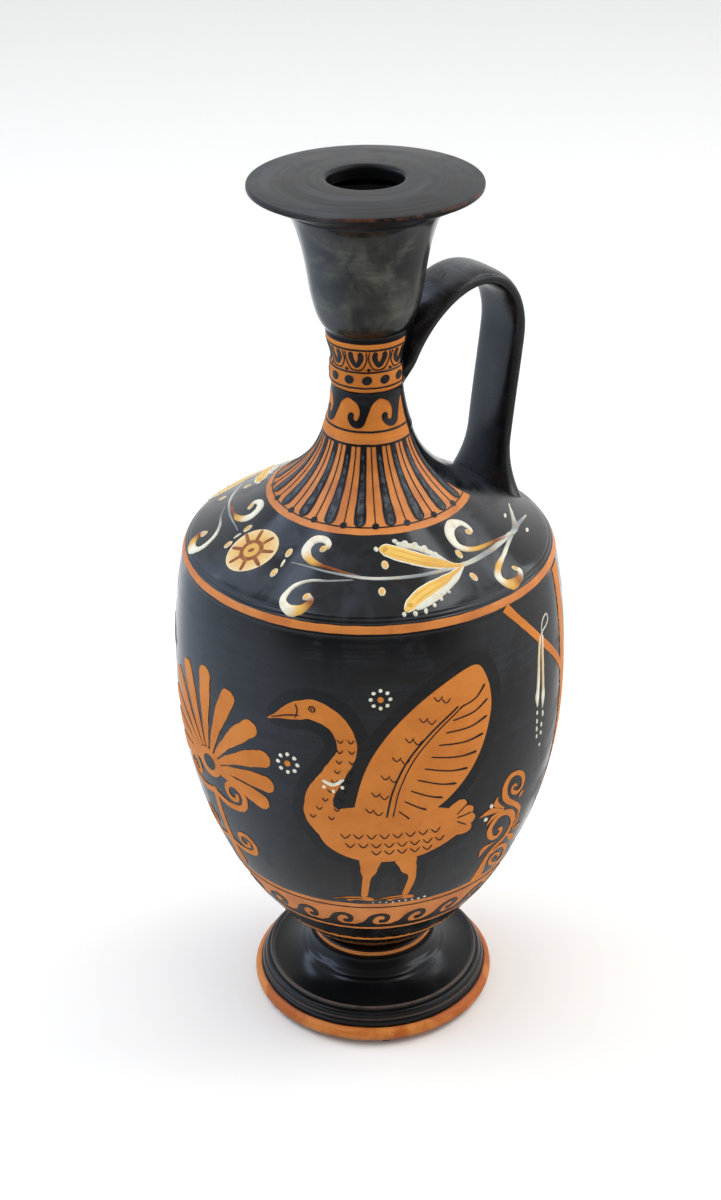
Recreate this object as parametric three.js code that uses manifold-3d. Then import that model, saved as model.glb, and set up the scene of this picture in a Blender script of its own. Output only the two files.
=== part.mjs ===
// Lekythos: a wheel-thrown oil vase with one strap handle, built up as a potter builds it.
// Foot, body, shoulder, neck, mouth cup and rim are thrown apart and luted with clay slip.
// Millimetres, +Z up, origin on the axis at the table, handle towards +X.
import * as THREE from 'three';
import { mergeVertices } from 'three/addons/utils/BufferGeometryUtils.js';
import Module from 'manifold-3d';

const wasm = await Module();
wasm.setup();

// Joints between the thrown sections
const SLIP_THICKNESS = 0.8;
const SLIP_SETBACK = 0.4;
const JOINT_GAP = 0.3;

// Stick-on pads under the foot
const PAD_COUNT = 5;
const PAD_THICKNESS = 1.8;
const PAD_RADIUS = 4;
const PAD_OVERHANG = 0.8;
const PAD_FIRST_ANGLE = 25;

// Disc foot: half-round rim, two beads and a ridge above it, dished flare up to the stem seat
const FOOT_HEIGHT = 24.1;
const FOOT_RADIUS = 51.5;
const FOOT_RIM_HEIGHT = 7.4;
const FOOT_RIM_BULGE = 3.7;
const FOOT_RIM_TUCK = 2.3;
const FOOT_STEP_DEPTH = 2;
const FOOT_STEP_RISE = 2.1;
const FOOT_BEAD_DEPTH = 1.8;
const FOOT_BEAD_RISE = 2.6;
const FOOT_RIDGE_RADIUS = 44.5;
const FOOT_RIDGE_HEIGHT = 13.9;
const FOOT_RIDGE_DROP = 1.1;
const FOOT_RIDGE_WIDTH = 1.8;
const FOOT_SEAT_RADIUS = 25.6;
const FOOT_RING_WIDTH = 9;
const FOOT_HOLLOW_DEPTH = 12.5;
const FOOT_HOLLOW_RADIUS = 12;

// Rolled clay ring that covers the joint of stem and foot
const STEM_RING_RADIUS = 26;
const STEM_RING_HEIGHT = 4.6;

// Body: short stem, full bowl, widest above the middle, drawn in to the shoulder edge
const STEM_RADIUS = 23.2;
const STEM_HEIGHT = 4.7;
const BODY_HEIGHT = 184.7;
const BODY_RADIUS = 78.6;
const BODY_WIDEST_HEIGHT = 132.7;
const BODY_WALL = 5.5;
const BODY_FLOOR = 9;
const BOWL_FLARE_OUT = 8.6;
const BOWL_FLARE_UP = 4.3;
const BOWL_PULL_DOWN = 80;
const UPPER_PULL_UP = 13.5;
const EDGE_TAPER_IN = 3.7;
const EDGE_TAPER_UP = 14.8;
const SHOULDER_EDGE_RADIUS = 73.3;

// Shoulder: rounded edge, straight slope, then a hollow sweep up to the neck
const SHOULDER_HEIGHT = 51.2;
const SHOULDER_EDGE_RISE = 8.2;
const SHOULDER_EDGE_SET_IN = 6.6;
const SHOULDER_EDGE_ROUND = 4.3;
const SHOULDER_SLOPE = 29.2;
const SHOULDER_SLOPE_PULL = 35;
const SHOULDER_SWEEP_UP = 17.9;
const SHOULDER_SWEEP_OUT = 4.5;
const SHOULDER_WALL = 4.6;

// Neck: waisted tube with a raised ring
const NECK_HEIGHT = 39.2;
const NECK_BASE_RADIUS = 16.9;
const NECK_WAIST_RADIUS = 13.5;
const NECK_WAIST_HEIGHT = 18;
const NECK_FLARE_IN = 1.4;
const NECK_FLARE_UP = 3.1;
const NECK_WAIST_PULL = 4.6;
const NECK_RING_HEIGHT = 6.2;
const NECK_RING_PROUD = 0.8;
const NECK_RING_ROUND = 1.2;
const NECK_TOP_RADIUS = 15.6;
const NECK_TOP_PULL = 5.5;
const NECK_BORE = 18;

// Mouth cup: round bottom, then a calyx that opens towards the rim
const CUP_HEIGHT = 45.2;
const CUP_BOTTOM_RADIUS = 15.8;
const CUP_BEND_HEIGHT = 17.2;
const CUP_BEND_RADIUS = 21.5;
const CUP_BOTTOM_PULL = 4.4;
const CUP_BEND_PULL = 6.9;
const CUP_BEND_LEAN = 0.14;
const CUP_TOP_RADIUS = 29;
const CUP_TOP_LEAN = 0.75;
const CUP_TOP_PULL = 5.6;
const CUP_WALL = 4.8;

// Rim: broad, slightly domed disc with a round hole
const RIM_HEIGHT = 10.2;
const RIM_RADIUS = 43.2;
const RIM_LIP_THICKNESS = 2.4;
const RIM_LIP_ROUND = 0.9;
const RIM_DOME_RISE = 1.2;
const RIM_HOLE_RADIUS = 14;
const RIM_HOLE_ROUND = 1.8;
const RIM_UNDER_PULL_OUT = 2.5;
const RIM_UNDER_PULL_UP = 1.4;
const RIM_EDGE_PULL_IN = 4.3;
const RIM_EDGE_PULL_DOWN = 2.1;
const RIM_DISC_THICKNESS = 5.2;

// Strap handle: leaves the neck under the cup, crests and comes down on the shoulder
const HANDLE_WIDTH = 24.5;
const HANDLE_THICKNESS = 6.6;
const HANDLE_ROOT_WIDTH = 43;
const HANDLE_ROOT_THICKNESS = 15;
const HANDLE_ROOT_LENGTH = 25;
const HANDLE_NECK_DROP = 29;
const HANDLE_NECK_PULL = 19;
const HANDLE_CREST_OUT = 32.5;
const HANDLE_CREST_RISE = 11;
const HANDLE_CREST_PULL_IN = 17;
const HANDLE_CREST_PULL_OUT = 13;
const HANDLE_REACH = 51.5;
const HANDLE_BEND_DROP = 27;
const HANDLE_BEND_PULL = 14;
const HANDLE_LANDING_RADIUS = 57.5;
const HANDLE_LANDING_PULL = 18;
const HANDLE_SQUARENESS = 3.4;

// Facets
const WIDE_SEGMENTS = 40;
const SLIM_SEGMENTS = 32;
const PAD_SEGMENTS = 16;
const LONG_CURVE_STEPS = 8;
const CURVE_STEPS = 5;
const FOOT_CURVE_STEPS = 4;
const SHORT_CURVE_STEPS = 3;
const HANDLE_STEP_COUNT = 8;
const HANDLE_SIDE_COUNT = 14;
const WALL_LEVEL_STEP = 3;
const WALL_REACH_COUNT = 6;

// Heights of the stack, from the table up
const footBottom = PAD_THICKNESS;
const footTop = footBottom + FOOT_HEIGHT;
const bodyBottom = footTop + SLIP_THICKNESS;
const stemTop = bodyBottom + STEM_HEIGHT;
const bodyWidest = bodyBottom + BODY_WIDEST_HEIGHT;
const bodyTop = bodyBottom + BODY_HEIGHT;
const shoulderBottom = bodyTop + SLIP_THICKNESS;
const shoulderTop = shoulderBottom + SHOULDER_HEIGHT;
const neckBottom = shoulderTop + SLIP_THICKNESS;
const neckTop = neckBottom + NECK_HEIGHT;
const cupBottom = neckTop + SLIP_THICKNESS;
const cupBend = cupBottom + CUP_BEND_HEIGHT;
const cupTop = cupBottom + CUP_HEIGHT;
const rimBottom = cupTop + SLIP_THICKNESS;
const rimTop = rimBottom + RIM_HEIGHT;
const boreRadius = NECK_BORE / 2;
const cupMouthRadius = CUP_TOP_RADIUS - CUP_WALL;
const footRingOutside = FOOT_RADIUS - FOOT_RIM_BULGE;
const padCircleRadius = footRingOutside + PAD_OVERHANG - PAD_RADIUS;

const blackGloss = new THREE.MeshStandardMaterial({ color: 0x232327, roughness: 0.28, metalness: 0.05 });
const orangeClay = new THREE.MeshStandardMaterial({ color: 0xcf8440, roughness: 0.55, metalness: 0 });
const pastedSlip = new THREE.MeshStandardMaterial({ color: 0xb8703a, roughness: 0.8, metalness: 0 });
const darkRubber = new THREE.MeshStandardMaterial({ color: 0x33261e, roughness: 0.85, metalness: 0 });

const vase = new THREE.Group();
vase.name = 'lekythos';

function addPiece(name, geometry, material) {
  const mesh = new THREE.Mesh(geometry, material);
  mesh.name = name;
  vase.add(mesh);
  return mesh;
}

// Leaves only shared positions and real triangles, then shades them
function weld(geometry) {
  geometry.deleteAttribute('normal');
  geometry.deleteAttribute('uv');
  const welded = mergeVertices(geometry, 1e-4);
  const corners = welded.getIndex().array;
  const kept = [];
  for (let i = 0; i < corners.length; i += 3) {
    const [a, b, c] = [corners[i], corners[i + 1], corners[i + 2]];
    if (a !== b && b !== c && c !== a) kept.push(a, b, c);
  }
  welded.setIndex(kept);
  welded.computeVertexNormals();
  return welded;
}

// Solid of revolution about Z from a closed profile of (radius, height) points
function turned(profile, segments) {
  const geometry = new THREE.LatheGeometry(profile, segments);
  geometry.rotateX(Math.PI / 2);
  return weld(geometry);
}

function closed(points) {
  return [...points, points[0].clone()];
}

// Points at a set depth behind the given curves, on the side of the axis
function behind(curves, depth, divisions) {
  const points = [];
  for (const curve of curves) {
    for (let i = 0; i <= divisions; i += 1) {
      const tangent = curve.getTangent(i / divisions);
      const inward = new THREE.Vector2(-tangent.y, tangent.x);
      points.push(curve.getPoint(i / divisions).addScaledVector(inward, depth));
    }
  }
  return points;
}

function solidOf(geometry) {
  return new wasm.Manifold(new wasm.Mesh({
    numProp: 3,
    vertProperties: new Float32Array(geometry.getAttribute('position').array),
    triVerts: new Uint32Array(geometry.getIndex().array),
  }));
}

function geometryOf(solid) {
  const cut = solid.getMesh();
  const geometry = new THREE.BufferGeometry();
  geometry.setAttribute('position', new THREE.BufferAttribute(cut.vertProperties, 3));
  geometry.setIndex(new THREE.BufferAttribute(cut.triVerts, 1));
  geometry.computeVertexNormals();
  return geometry;
}

// Outer curves of the thrown sections, each from its lower to its upper joint

function bodyOutline() {
  const path = new THREE.Path();
  path.moveTo(STEM_RADIUS, stemTop);
  path.bezierCurveTo(
    STEM_RADIUS + BOWL_FLARE_OUT, stemTop + BOWL_FLARE_UP,
    BODY_RADIUS, bodyWidest - BOWL_PULL_DOWN,
    BODY_RADIUS, bodyWidest,
  );
  path.bezierCurveTo(
    BODY_RADIUS, bodyWidest + UPPER_PULL_UP,
    SHOULDER_EDGE_RADIUS + EDGE_TAPER_IN, bodyTop - EDGE_TAPER_UP,
    SHOULDER_EDGE_RADIUS, bodyTop,
  );
  return path;
}

function shoulderOutline() {
  const slope = THREE.MathUtils.degToRad(SHOULDER_SLOPE);
  const down = new THREE.Vector2(Math.cos(slope), -Math.sin(slope));
  const start = new THREE.Vector2(SHOULDER_EDGE_RADIUS, shoulderBottom);
  const bend = new THREE.Vector2(start.x - SHOULDER_EDGE_SET_IN, start.y + SHOULDER_EDGE_RISE);
  const beforeBend = bend.clone().addScaledVector(down, SHOULDER_EDGE_ROUND);
  const afterBend = bend.clone().addScaledVector(down, -SHOULDER_SLOPE_PULL);
  const upright = new THREE.Vector2(-EDGE_TAPER_IN, EDGE_TAPER_UP).setLength(SHOULDER_EDGE_ROUND);
  const path = new THREE.Path();
  path.moveTo(start.x, start.y);
  path.bezierCurveTo(start.x + upright.x, start.y + upright.y, beforeBend.x, beforeBend.y, bend.x, bend.y);
  path.bezierCurveTo(
    afterBend.x, afterBend.y,
    NECK_BASE_RADIUS + SHOULDER_SWEEP_OUT, shoulderTop - SHOULDER_SWEEP_UP,
    NECK_BASE_RADIUS, shoulderTop,
  );
  return path;
}

function neckOutline() {
  const waist = neckBottom + NECK_WAIST_HEIGHT;
  const ringTop = waist + NECK_RING_HEIGHT + 2 * NECK_RING_ROUND;
  const ringRadius = NECK_WAIST_RADIUS + NECK_RING_PROUD;
  const path = new THREE.Path();
  path.moveTo(NECK_BASE_RADIUS, neckBottom);
  path.bezierCurveTo(
    NECK_BASE_RADIUS - NECK_FLARE_IN, neckBottom + NECK_FLARE_UP,
    NECK_WAIST_RADIUS, waist - NECK_WAIST_PULL,
    NECK_WAIST_RADIUS, waist,
  );
  path.lineTo(ringRadius, waist + NECK_RING_ROUND);
  path.lineTo(ringRadius, ringTop - NECK_RING_ROUND);
  path.lineTo(NECK_WAIST_RADIUS, ringTop);
  path.bezierCurveTo(
    NECK_WAIST_RADIUS, ringTop + NECK_TOP_PULL,
    NECK_TOP_RADIUS, neckTop - NECK_TOP_PULL,
    NECK_TOP_RADIUS, neckTop,
  );
  return path;
}

function cupOutline() {
  const diagonal = CUP_BOTTOM_PULL * Math.SQRT1_2;
  const path = new THREE.Path();
  path.moveTo(CUP_BOTTOM_RADIUS, cupBottom);
  path.bezierCurveTo(
    CUP_BOTTOM_RADIUS + diagonal, cupBottom + diagonal,
    CUP_BEND_RADIUS - CUP_BEND_LEAN * CUP_BEND_PULL, cupBend - CUP_BEND_PULL,
    CUP_BEND_RADIUS, cupBend,
  );
  path.bezierCurveTo(
    CUP_BEND_RADIUS + CUP_BEND_LEAN * CUP_BEND_PULL, cupBend + CUP_BEND_PULL,
    CUP_TOP_RADIUS - CUP_TOP_LEAN * CUP_TOP_PULL, cupTop - CUP_TOP_PULL,
    CUP_TOP_RADIUS, cupTop,
  );
  return path;
}

// Pieces

function footGeometry() {
  const rimTopRadius = FOOT_RADIUS - FOOT_RIM_TUCK;
  const ridgeInside = FOOT_RIDGE_RADIUS - FOOT_RIDGE_WIDTH;
  const rimTopHeight = footBottom + FOOT_RIM_HEIGHT;
  const stepRadius = rimTopRadius - FOOT_STEP_DEPTH;
  const stepHeight = rimTopHeight + FOOT_STEP_RISE;
  const beadHeight = stepHeight + FOOT_BEAD_RISE;
  const ridgeHeight = footBottom + FOOT_RIDGE_HEIGHT;
  const dishHeight = ridgeHeight - FOOT_RIDGE_DROP;
  const ringInside = footRingOutside - FOOT_RING_WIDTH;
  const hollowTop = footBottom + FOOT_HOLLOW_DEPTH;
  const path = new THREE.Path();
  path.moveTo(0, hollowTop);
  path.lineTo(FOOT_HOLLOW_RADIUS, hollowTop);
  path.quadraticCurveTo(ringInside, hollowTop, ringInside, footBottom);
  path.lineTo(footRingOutside, footBottom);
  path.quadraticCurveTo(FOOT_RADIUS, footBottom, FOOT_RADIUS, footBottom + FOOT_RIM_HEIGHT / 2);
  path.quadraticCurveTo(FOOT_RADIUS, rimTopHeight - FOOT_RIM_TUCK, rimTopRadius, rimTopHeight);
  path.quadraticCurveTo(rimTopRadius, stepHeight, stepRadius, stepHeight);
  path.quadraticCurveTo(stepRadius, beadHeight, stepRadius - FOOT_BEAD_DEPTH, beadHeight);
  path.lineTo(FOOT_RIDGE_RADIUS, ridgeHeight);
  path.lineTo(ridgeInside, dishHeight);
  path.bezierCurveTo(
    (ridgeInside + FOOT_SEAT_RADIUS) / 2, dishHeight,
    FOOT_SEAT_RADIUS, (dishHeight + footTop) / 2,
    FOOT_SEAT_RADIUS, footTop,
  );
  path.lineTo(0, footTop);
  return turned(path.getPoints(FOOT_CURVE_STEPS), WIDE_SEGMENTS);
}

function stemRingGeometry() {
  const inside = STEM_RADIUS + JOINT_GAP;
  const top = footTop + STEM_RING_HEIGHT;
  const middle = footTop + STEM_RING_HEIGHT / 2;
  const path = new THREE.Path();
  path.moveTo(inside, footTop);
  path.lineTo(FOOT_SEAT_RADIUS - JOINT_GAP, footTop);
  path.quadraticCurveTo(STEM_RING_RADIUS, footTop, STEM_RING_RADIUS, middle);
  path.quadraticCurveTo(STEM_RING_RADIUS, top, inside, top);
  return turned(closed(path.getPoints(SHORT_CURVE_STEPS)), SLIM_SEGMENTS);
}

function bodyGeometry() {
  const outline = bodyOutline();
  const floor = bodyBottom + BODY_FLOOR;
  const lipRadius = SHOULDER_EDGE_RADIUS - BODY_WALL;
  const inside = behind(outline.curves, BODY_WALL, CURVE_STEPS).filter((p) => {
    return p.y > floor && p.y < bodyTop - BODY_WALL;
  });
  const profile = [
    new THREE.Vector2(0, bodyBottom),
    new THREE.Vector2(STEM_RADIUS, bodyBottom),
    ...outline.getPoints(LONG_CURVE_STEPS),
    new THREE.Vector2(lipRadius, bodyTop),
    ...inside.reverse(),
    new THREE.Vector2(STEM_RADIUS - BODY_WALL, floor),
    new THREE.Vector2(0, floor),
  ];
  return turned(profile, WIDE_SEGMENTS);
}

function shoulderGeometry() {
  const outline = shoulderOutline();
  const slope = outline.curves[1];
  const inside = behind([slope], SHOULDER_WALL, LONG_CURVE_STEPS).filter((p) => {
    return p.x > boreRadius && p.y < shoulderTop;
  });
  const profile = [
    ...outline.getPoints(LONG_CURVE_STEPS),
    new THREE.Vector2(boreRadius, shoulderTop),
    ...inside.reverse(),
    new THREE.Vector2(SHOULDER_EDGE_RADIUS - BODY_WALL, shoulderBottom),
  ];
  return turned(closed(profile), WIDE_SEGMENTS);
}

function neckGeometry() {
  const profile = [
    ...neckOutline().getPoints(CURVE_STEPS),
    new THREE.Vector2(boreRadius, neckTop),
    new THREE.Vector2(boreRadius, neckBottom),
  ];
  return turned(closed(profile), SLIM_SEGMENTS);
}

function cupGeometry() {
  const outline = cupOutline();
  const inside = behind(outline.curves, CUP_WALL, CURVE_STEPS).filter((p) => {
    return p.x > boreRadius && p.y > cupBottom && p.y < cupTop - CUP_WALL;
  });
  const profile = [
    ...outline.getPoints(CURVE_STEPS),
    new THREE.Vector2(cupMouthRadius, cupTop),
    ...inside.reverse(),
    new THREE.Vector2(boreRadius, cupBottom),
  ];
  return turned(closed(profile), SLIM_SEGMENTS);
}

function rimGeometry() {
  const lipTop = rimTop - RIM_DOME_RISE;
  const lipBottom = lipTop - RIM_LIP_THICKNESS;
  const lipMiddle = (lipTop + lipBottom) / 2;
  const discBottom = rimTop - RIM_DISC_THICKNESS;
  const path = new THREE.Path();
  path.moveTo(CUP_TOP_RADIUS, rimBottom);
  path.bezierCurveTo(
    CUP_TOP_RADIUS + RIM_UNDER_PULL_OUT, rimBottom + RIM_UNDER_PULL_UP,
    RIM_RADIUS - RIM_EDGE_PULL_IN, lipBottom - RIM_EDGE_PULL_DOWN,
    RIM_RADIUS - RIM_LIP_ROUND, lipBottom,
  );
  path.quadraticCurveTo(RIM_RADIUS, lipBottom, RIM_RADIUS, lipMiddle);
  path.quadraticCurveTo(RIM_RADIUS, lipTop, RIM_RADIUS - RIM_LIP_ROUND, lipTop);
  path.quadraticCurveTo(
    (RIM_RADIUS + RIM_HOLE_RADIUS) / 2, rimTop,
    RIM_HOLE_RADIUS + RIM_HOLE_ROUND, rimTop,
  );
  path.quadraticCurveTo(RIM_HOLE_RADIUS, rimTop, RIM_HOLE_RADIUS, rimTop - RIM_HOLE_ROUND);
  path.lineTo(RIM_HOLE_RADIUS, discBottom);
  path.quadraticCurveTo(cupMouthRadius, discBottom, cupMouthRadius, rimBottom);
  return turned(closed(path.getPoints(SHORT_CURVE_STEPS)), WIDE_SEGMENTS);
}

// Flat washer or disc of slip between two butted sections, a little inside their edges
function slipSeam(name, bottom, outerRadius, innerRadius) {
  const top = bottom + SLIP_THICKNESS;
  const outer = outerRadius - SLIP_SETBACK;
  const inner = innerRadius > 0 ? innerRadius + SLIP_SETBACK : 0;
  const profile = [
    new THREE.Vector2(inner, bottom),
    new THREE.Vector2(outer, bottom),
    new THREE.Vector2(outer, top),
    new THREE.Vector2(inner, top),
  ];
  return addPiece(name, turned(inner > 0 ? closed(profile) : profile, SLIM_SEGMENTS), pastedSlip);
}

// Radius of a rising outline at one level
function radiusAt(points, level) {
  const next = points.findIndex((p) => p.y > level);
  if (next < 1) return points[next === 0 ? 0 : points.length - 1].x;
  const [below, above] = [points[next - 1], points[next]];
  return THREE.MathUtils.mapLinear(level, below.y, above.y, below.x, above.x);
}

// Filled solid of shoulder, neck and cup bottom, grown outwards by a set distance at each level
function wallGrownBy(distance) {
  const outlines = [shoulderOutline(), neckOutline(), cupOutline()];
  const outside = outlines.flatMap((outline) => outline.getPoints(LONG_CURVE_STEPS));
  const levels = Math.ceil((cupBend - shoulderBottom) / WALL_LEVEL_STEP);
  const profile = [new THREE.Vector2(0, shoulderBottom)];
  for (let i = 0; i <= levels; i += 1) {
    const level = THREE.MathUtils.lerp(shoulderBottom, cupBend, i / levels);
    let radius = 0;
    for (let k = -WALL_REACH_COUNT; k <= WALL_REACH_COUNT; k += 1) {
      const lift = (distance * k) / WALL_REACH_COUNT;
      const reach = Math.sqrt(distance ** 2 - lift ** 2);
      radius = Math.max(radius, radiusAt(outside, level + lift) + reach);
    }
    profile.push(new THREE.Vector2(radius, level));
  }
  profile.push(new THREE.Vector2(0, cupBend));
  return solidOf(turned(profile, SLIM_SEGMENTS));
}

// Middle line of the strap, from inside the neck over the crest to inside the shoulder
function handleLine() {
  const onNeck = new THREE.Vector2(boreRadius, neckTop - HANDLE_NECK_DROP);
  const crest = new THREE.Vector2(NECK_WAIST_RADIUS + HANDLE_CREST_OUT, neckTop + HANDLE_CREST_RISE);
  const bend = new THREE.Vector2(NECK_WAIST_RADIUS + HANDLE_REACH, crest.y - HANDLE_BEND_DROP);
  const landing = new THREE.Vector2(HANDLE_LANDING_RADIUS, shoulderBottom + SHOULDER_EDGE_RISE);
  const leg = landing.clone().sub(bend).normalize();
  const path = new THREE.Path();
  path.moveTo(onNeck.x, onNeck.y);
  path.bezierCurveTo(
    onNeck.x, onNeck.y + HANDLE_NECK_PULL,
    crest.x - HANDLE_CREST_PULL_IN, crest.y,
    crest.x, crest.y,
  );
  path.bezierCurveTo(
    crest.x + HANDLE_CREST_PULL_OUT, crest.y,
    bend.x - leg.x * HANDLE_BEND_PULL, bend.y - leg.y * HANDLE_BEND_PULL,
    bend.x, bend.y,
  );
  path.bezierCurveTo(
    bend.x + leg.x * HANDLE_BEND_PULL, bend.y + leg.y * HANDLE_BEND_PULL,
    landing.x, landing.y + HANDLE_LANDING_PULL,
    landing.x, landing.y,
  );
  return path;
}

// Strap swept along its middle line, wider and thicker where it is smeared onto the shoulder
function handleSweep() {
  const line = handleLine();
  const curves = line.curves;
  const length = line.getLength();
  const last = curves.length * HANDLE_STEP_COUNT;
  const positions = [];
  const corners = [];
  for (let step = 0; step <= last; step += 1) {
    const along = step / last;
    const curve = curves[Math.min(Math.floor(step / HANDLE_STEP_COUNT), curves.length - 1)];
    const local = step === last ? 1 : (step % HANDLE_STEP_COUNT) / HANDLE_STEP_COUNT;
    const centre = curve.getPoint(local);
    const tangent = curve.getTangent(local);
    const toRoot = Math.max(0, 1 - ((1 - along) * length) / HANDLE_ROOT_LENGTH);
    const spread = toRoot * toRoot;
    const halfWidth = THREE.MathUtils.lerp(HANDLE_WIDTH, HANDLE_ROOT_WIDTH, spread) / 2;
    const halfThickness = THREE.MathUtils.lerp(HANDLE_THICKNESS, HANDLE_ROOT_THICKNESS, spread) / 2;
    for (let side = 0; side < HANDLE_SIDE_COUNT; side += 1) {
      const turn = (side / HANDLE_SIDE_COUNT) * Math.PI * 2;
      const across = Math.sign(Math.cos(turn)) * Math.abs(Math.cos(turn)) ** (2 / HANDLE_SQUARENESS);
      const through = Math.sign(Math.sin(turn)) * Math.abs(Math.sin(turn)) ** (2 / HANDLE_SQUARENESS);
      const shift = through * halfThickness;
      positions.push(centre.x - tangent.y * shift, across * halfWidth, centre.y + tangent.x * shift);
    }
  }
  for (let step = 0; step < last; step += 1) {
    for (let side = 0; side < HANDLE_SIDE_COUNT; side += 1) {
      const here = step * HANDLE_SIDE_COUNT + side;
      const beside = step * HANDLE_SIDE_COUNT + ((side + 1) % HANDLE_SIDE_COUNT);
      const hereNext = here + HANDLE_SIDE_COUNT;
      const besideNext = beside + HANDLE_SIDE_COUNT;
      corners.push(here, beside, hereNext, beside, besideNext, hereNext);
    }
  }
  const end = last * HANDLE_SIDE_COUNT;
  for (let side = 1; side < HANDLE_SIDE_COUNT - 1; side += 1) {
    corners.push(0, side + 1, side, end, end + side, end + side + 1);
  }
  const geometry = new THREE.BufferGeometry();
  geometry.setAttribute('position', new THREE.Float32BufferAttribute(positions, 3));
  geometry.setIndex(corners);
  return solidOf(geometry);
}

function padGeometry() {
  const edge = PAD_THICKNESS / 6;
  const path = new THREE.Path();
  path.moveTo(0, 0);
  path.lineTo(PAD_RADIUS - edge, 0);
  path.lineTo(PAD_RADIUS, edge);
  path.lineTo(PAD_RADIUS, PAD_THICKNESS);
  path.lineTo(0, PAD_THICKNESS);
  return turned(path.getPoints(), PAD_SEGMENTS);
}

addPiece('foot', footGeometry(), blackGloss);
addPiece('stem_ring', stemRingGeometry(), orangeClay);
addPiece('body', bodyGeometry(), blackGloss);
addPiece('shoulder', shoulderGeometry(), blackGloss);
addPiece('neck', neckGeometry(), orangeClay);
addPiece('mouth_cup', cupGeometry(), blackGloss);
addPiece('rim_disc', rimGeometry(), blackGloss);

slipSeam('foot_slip_seam', footTop, STEM_RADIUS, 0);
slipSeam('shoulder_slip_seam', bodyTop, SHOULDER_EDGE_RADIUS, SHOULDER_EDGE_RADIUS - BODY_WALL);
slipSeam('neck_slip_seam', shoulderTop, NECK_BASE_RADIUS, boreRadius);
slipSeam('mouth_slip_seam', neckTop, Math.min(NECK_TOP_RADIUS, CUP_BOTTOM_RADIUS), boreRadius);
slipSeam('rim_slip_seam', cupTop, CUP_TOP_RADIUS, cupMouthRadius);

// The handle ends are cut to the wall, with a pad of slip between each end and the wall
const strap = handleSweep();
const slipBottom = wallGrownBy(JOINT_GAP);
const slipTop = wallGrownBy(JOINT_GAP + SLIP_THICKNESS);
const handleEnd = wallGrownBy(2 * JOINT_GAP + SLIP_THICKNESS);
addPiece('handle', geometryOf(strap.subtract(handleEnd)), blackGloss);
const slipPads = strap.intersect(slipTop).subtract(slipBottom).decompose();
slipPads.sort((a, b) => b.boundingBox().max[2] - a.boundingBox().max[2]);
addPiece('handle_upper_slip', geometryOf(slipPads[0]), pastedSlip);
addPiece('handle_lower_slip', geometryOf(slipPads[1]), pastedSlip);

for (let i = 0; i < PAD_COUNT; i += 1) {
  const angle = THREE.MathUtils.degToRad(PAD_FIRST_ANGLE + (i * 360) / PAD_COUNT);
  const pad = addPiece(`foot_pad_${i + 1}`, padGeometry(), darkRubber);
  pad.position.set(padCircleRadius * Math.cos(angle), padCircleRadius * Math.sin(angle), 0);
}

export default vase;
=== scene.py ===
import math
from bisect import bisect_right

import bpy
from bpy.props import FloatProperty, FloatVectorProperty, IntProperty, PointerProperty
from mathutils import Matrix, Vector, noise
from mathutils.geometry import delaunay_2d_cdt


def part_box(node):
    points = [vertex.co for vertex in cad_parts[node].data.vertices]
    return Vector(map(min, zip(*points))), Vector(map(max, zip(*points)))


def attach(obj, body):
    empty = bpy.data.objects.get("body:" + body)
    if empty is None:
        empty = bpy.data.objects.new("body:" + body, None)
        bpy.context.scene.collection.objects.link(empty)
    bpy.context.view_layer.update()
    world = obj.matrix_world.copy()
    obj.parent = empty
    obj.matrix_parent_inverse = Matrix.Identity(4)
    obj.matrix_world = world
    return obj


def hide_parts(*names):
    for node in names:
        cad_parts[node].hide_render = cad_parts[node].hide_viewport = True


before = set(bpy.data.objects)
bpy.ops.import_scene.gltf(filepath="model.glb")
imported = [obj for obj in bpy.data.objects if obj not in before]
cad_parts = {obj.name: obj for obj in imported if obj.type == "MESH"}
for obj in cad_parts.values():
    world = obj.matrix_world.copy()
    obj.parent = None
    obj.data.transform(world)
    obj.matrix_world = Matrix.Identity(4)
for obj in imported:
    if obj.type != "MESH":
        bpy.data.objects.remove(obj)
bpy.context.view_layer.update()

bl_info = {
    "name": "Painted lekythos",
    "version": (1, 0, 0),
    "blender": (4, 5, 0),
    "location": "View3D > Sidebar > Vase",
    "description": "Builds a thrown and painted oil vase around its packed solids",
    "category": "Object",
}

MM = 0.001

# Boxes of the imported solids, read once
BOXES = {name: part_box(name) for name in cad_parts}

# Azimuths as the camera sees them: towards the camera, and of the handle
FRONT = math.radians(-90)
HANDLE_AZIMUTH = math.radians(35)

# Lifts of the layers of paint above the wall, in millimetres
HALO_LIFT = 0.04
GROUND_LIFT = 0.10
LINE_LIFT = 0.20
TOP_LIFT = 0.30

# Room kept for paint at the widest level, in millimetres
PAINT_ROOM = 0.45

# Depth of the edges of paint in the wall, in millimetres
EDGE_SINK = 0.1

# Furthest distance from a painted edge that is told apart, in millimetres
FAR = 4.0

# Angles over which edges of the turned sections and the handle's ends stay sharp
TURNED_SHARP = math.radians(34)
HANDLE_SHARP = math.radians(50)


# Settings that a user would change

def length(name, description, millimetres):
    size = millimetres * MM
    return FloatProperty(name=name, description=description, default=size, unit="LENGTH", precision=5)


def ratio(name, description, default):
    return FloatProperty(name=name, description=description, default=default)


def power(name, description, watts):
    return FloatProperty(name=name, description=description, default=watts, unit="POWER")


def angle(name, description, degrees):
    return FloatProperty(name=name, description=description, default=math.radians(degrees),
                         subtype="ANGLE")


def count(name, description, default):
    return IntProperty(name=name, description=description, default=default, min=1)


def colour(name, description, default):
    return FloatVectorProperty(
        name=name, description=description, default=default, size=3, subtype="COLOR", min=0, max=1
    )


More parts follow.
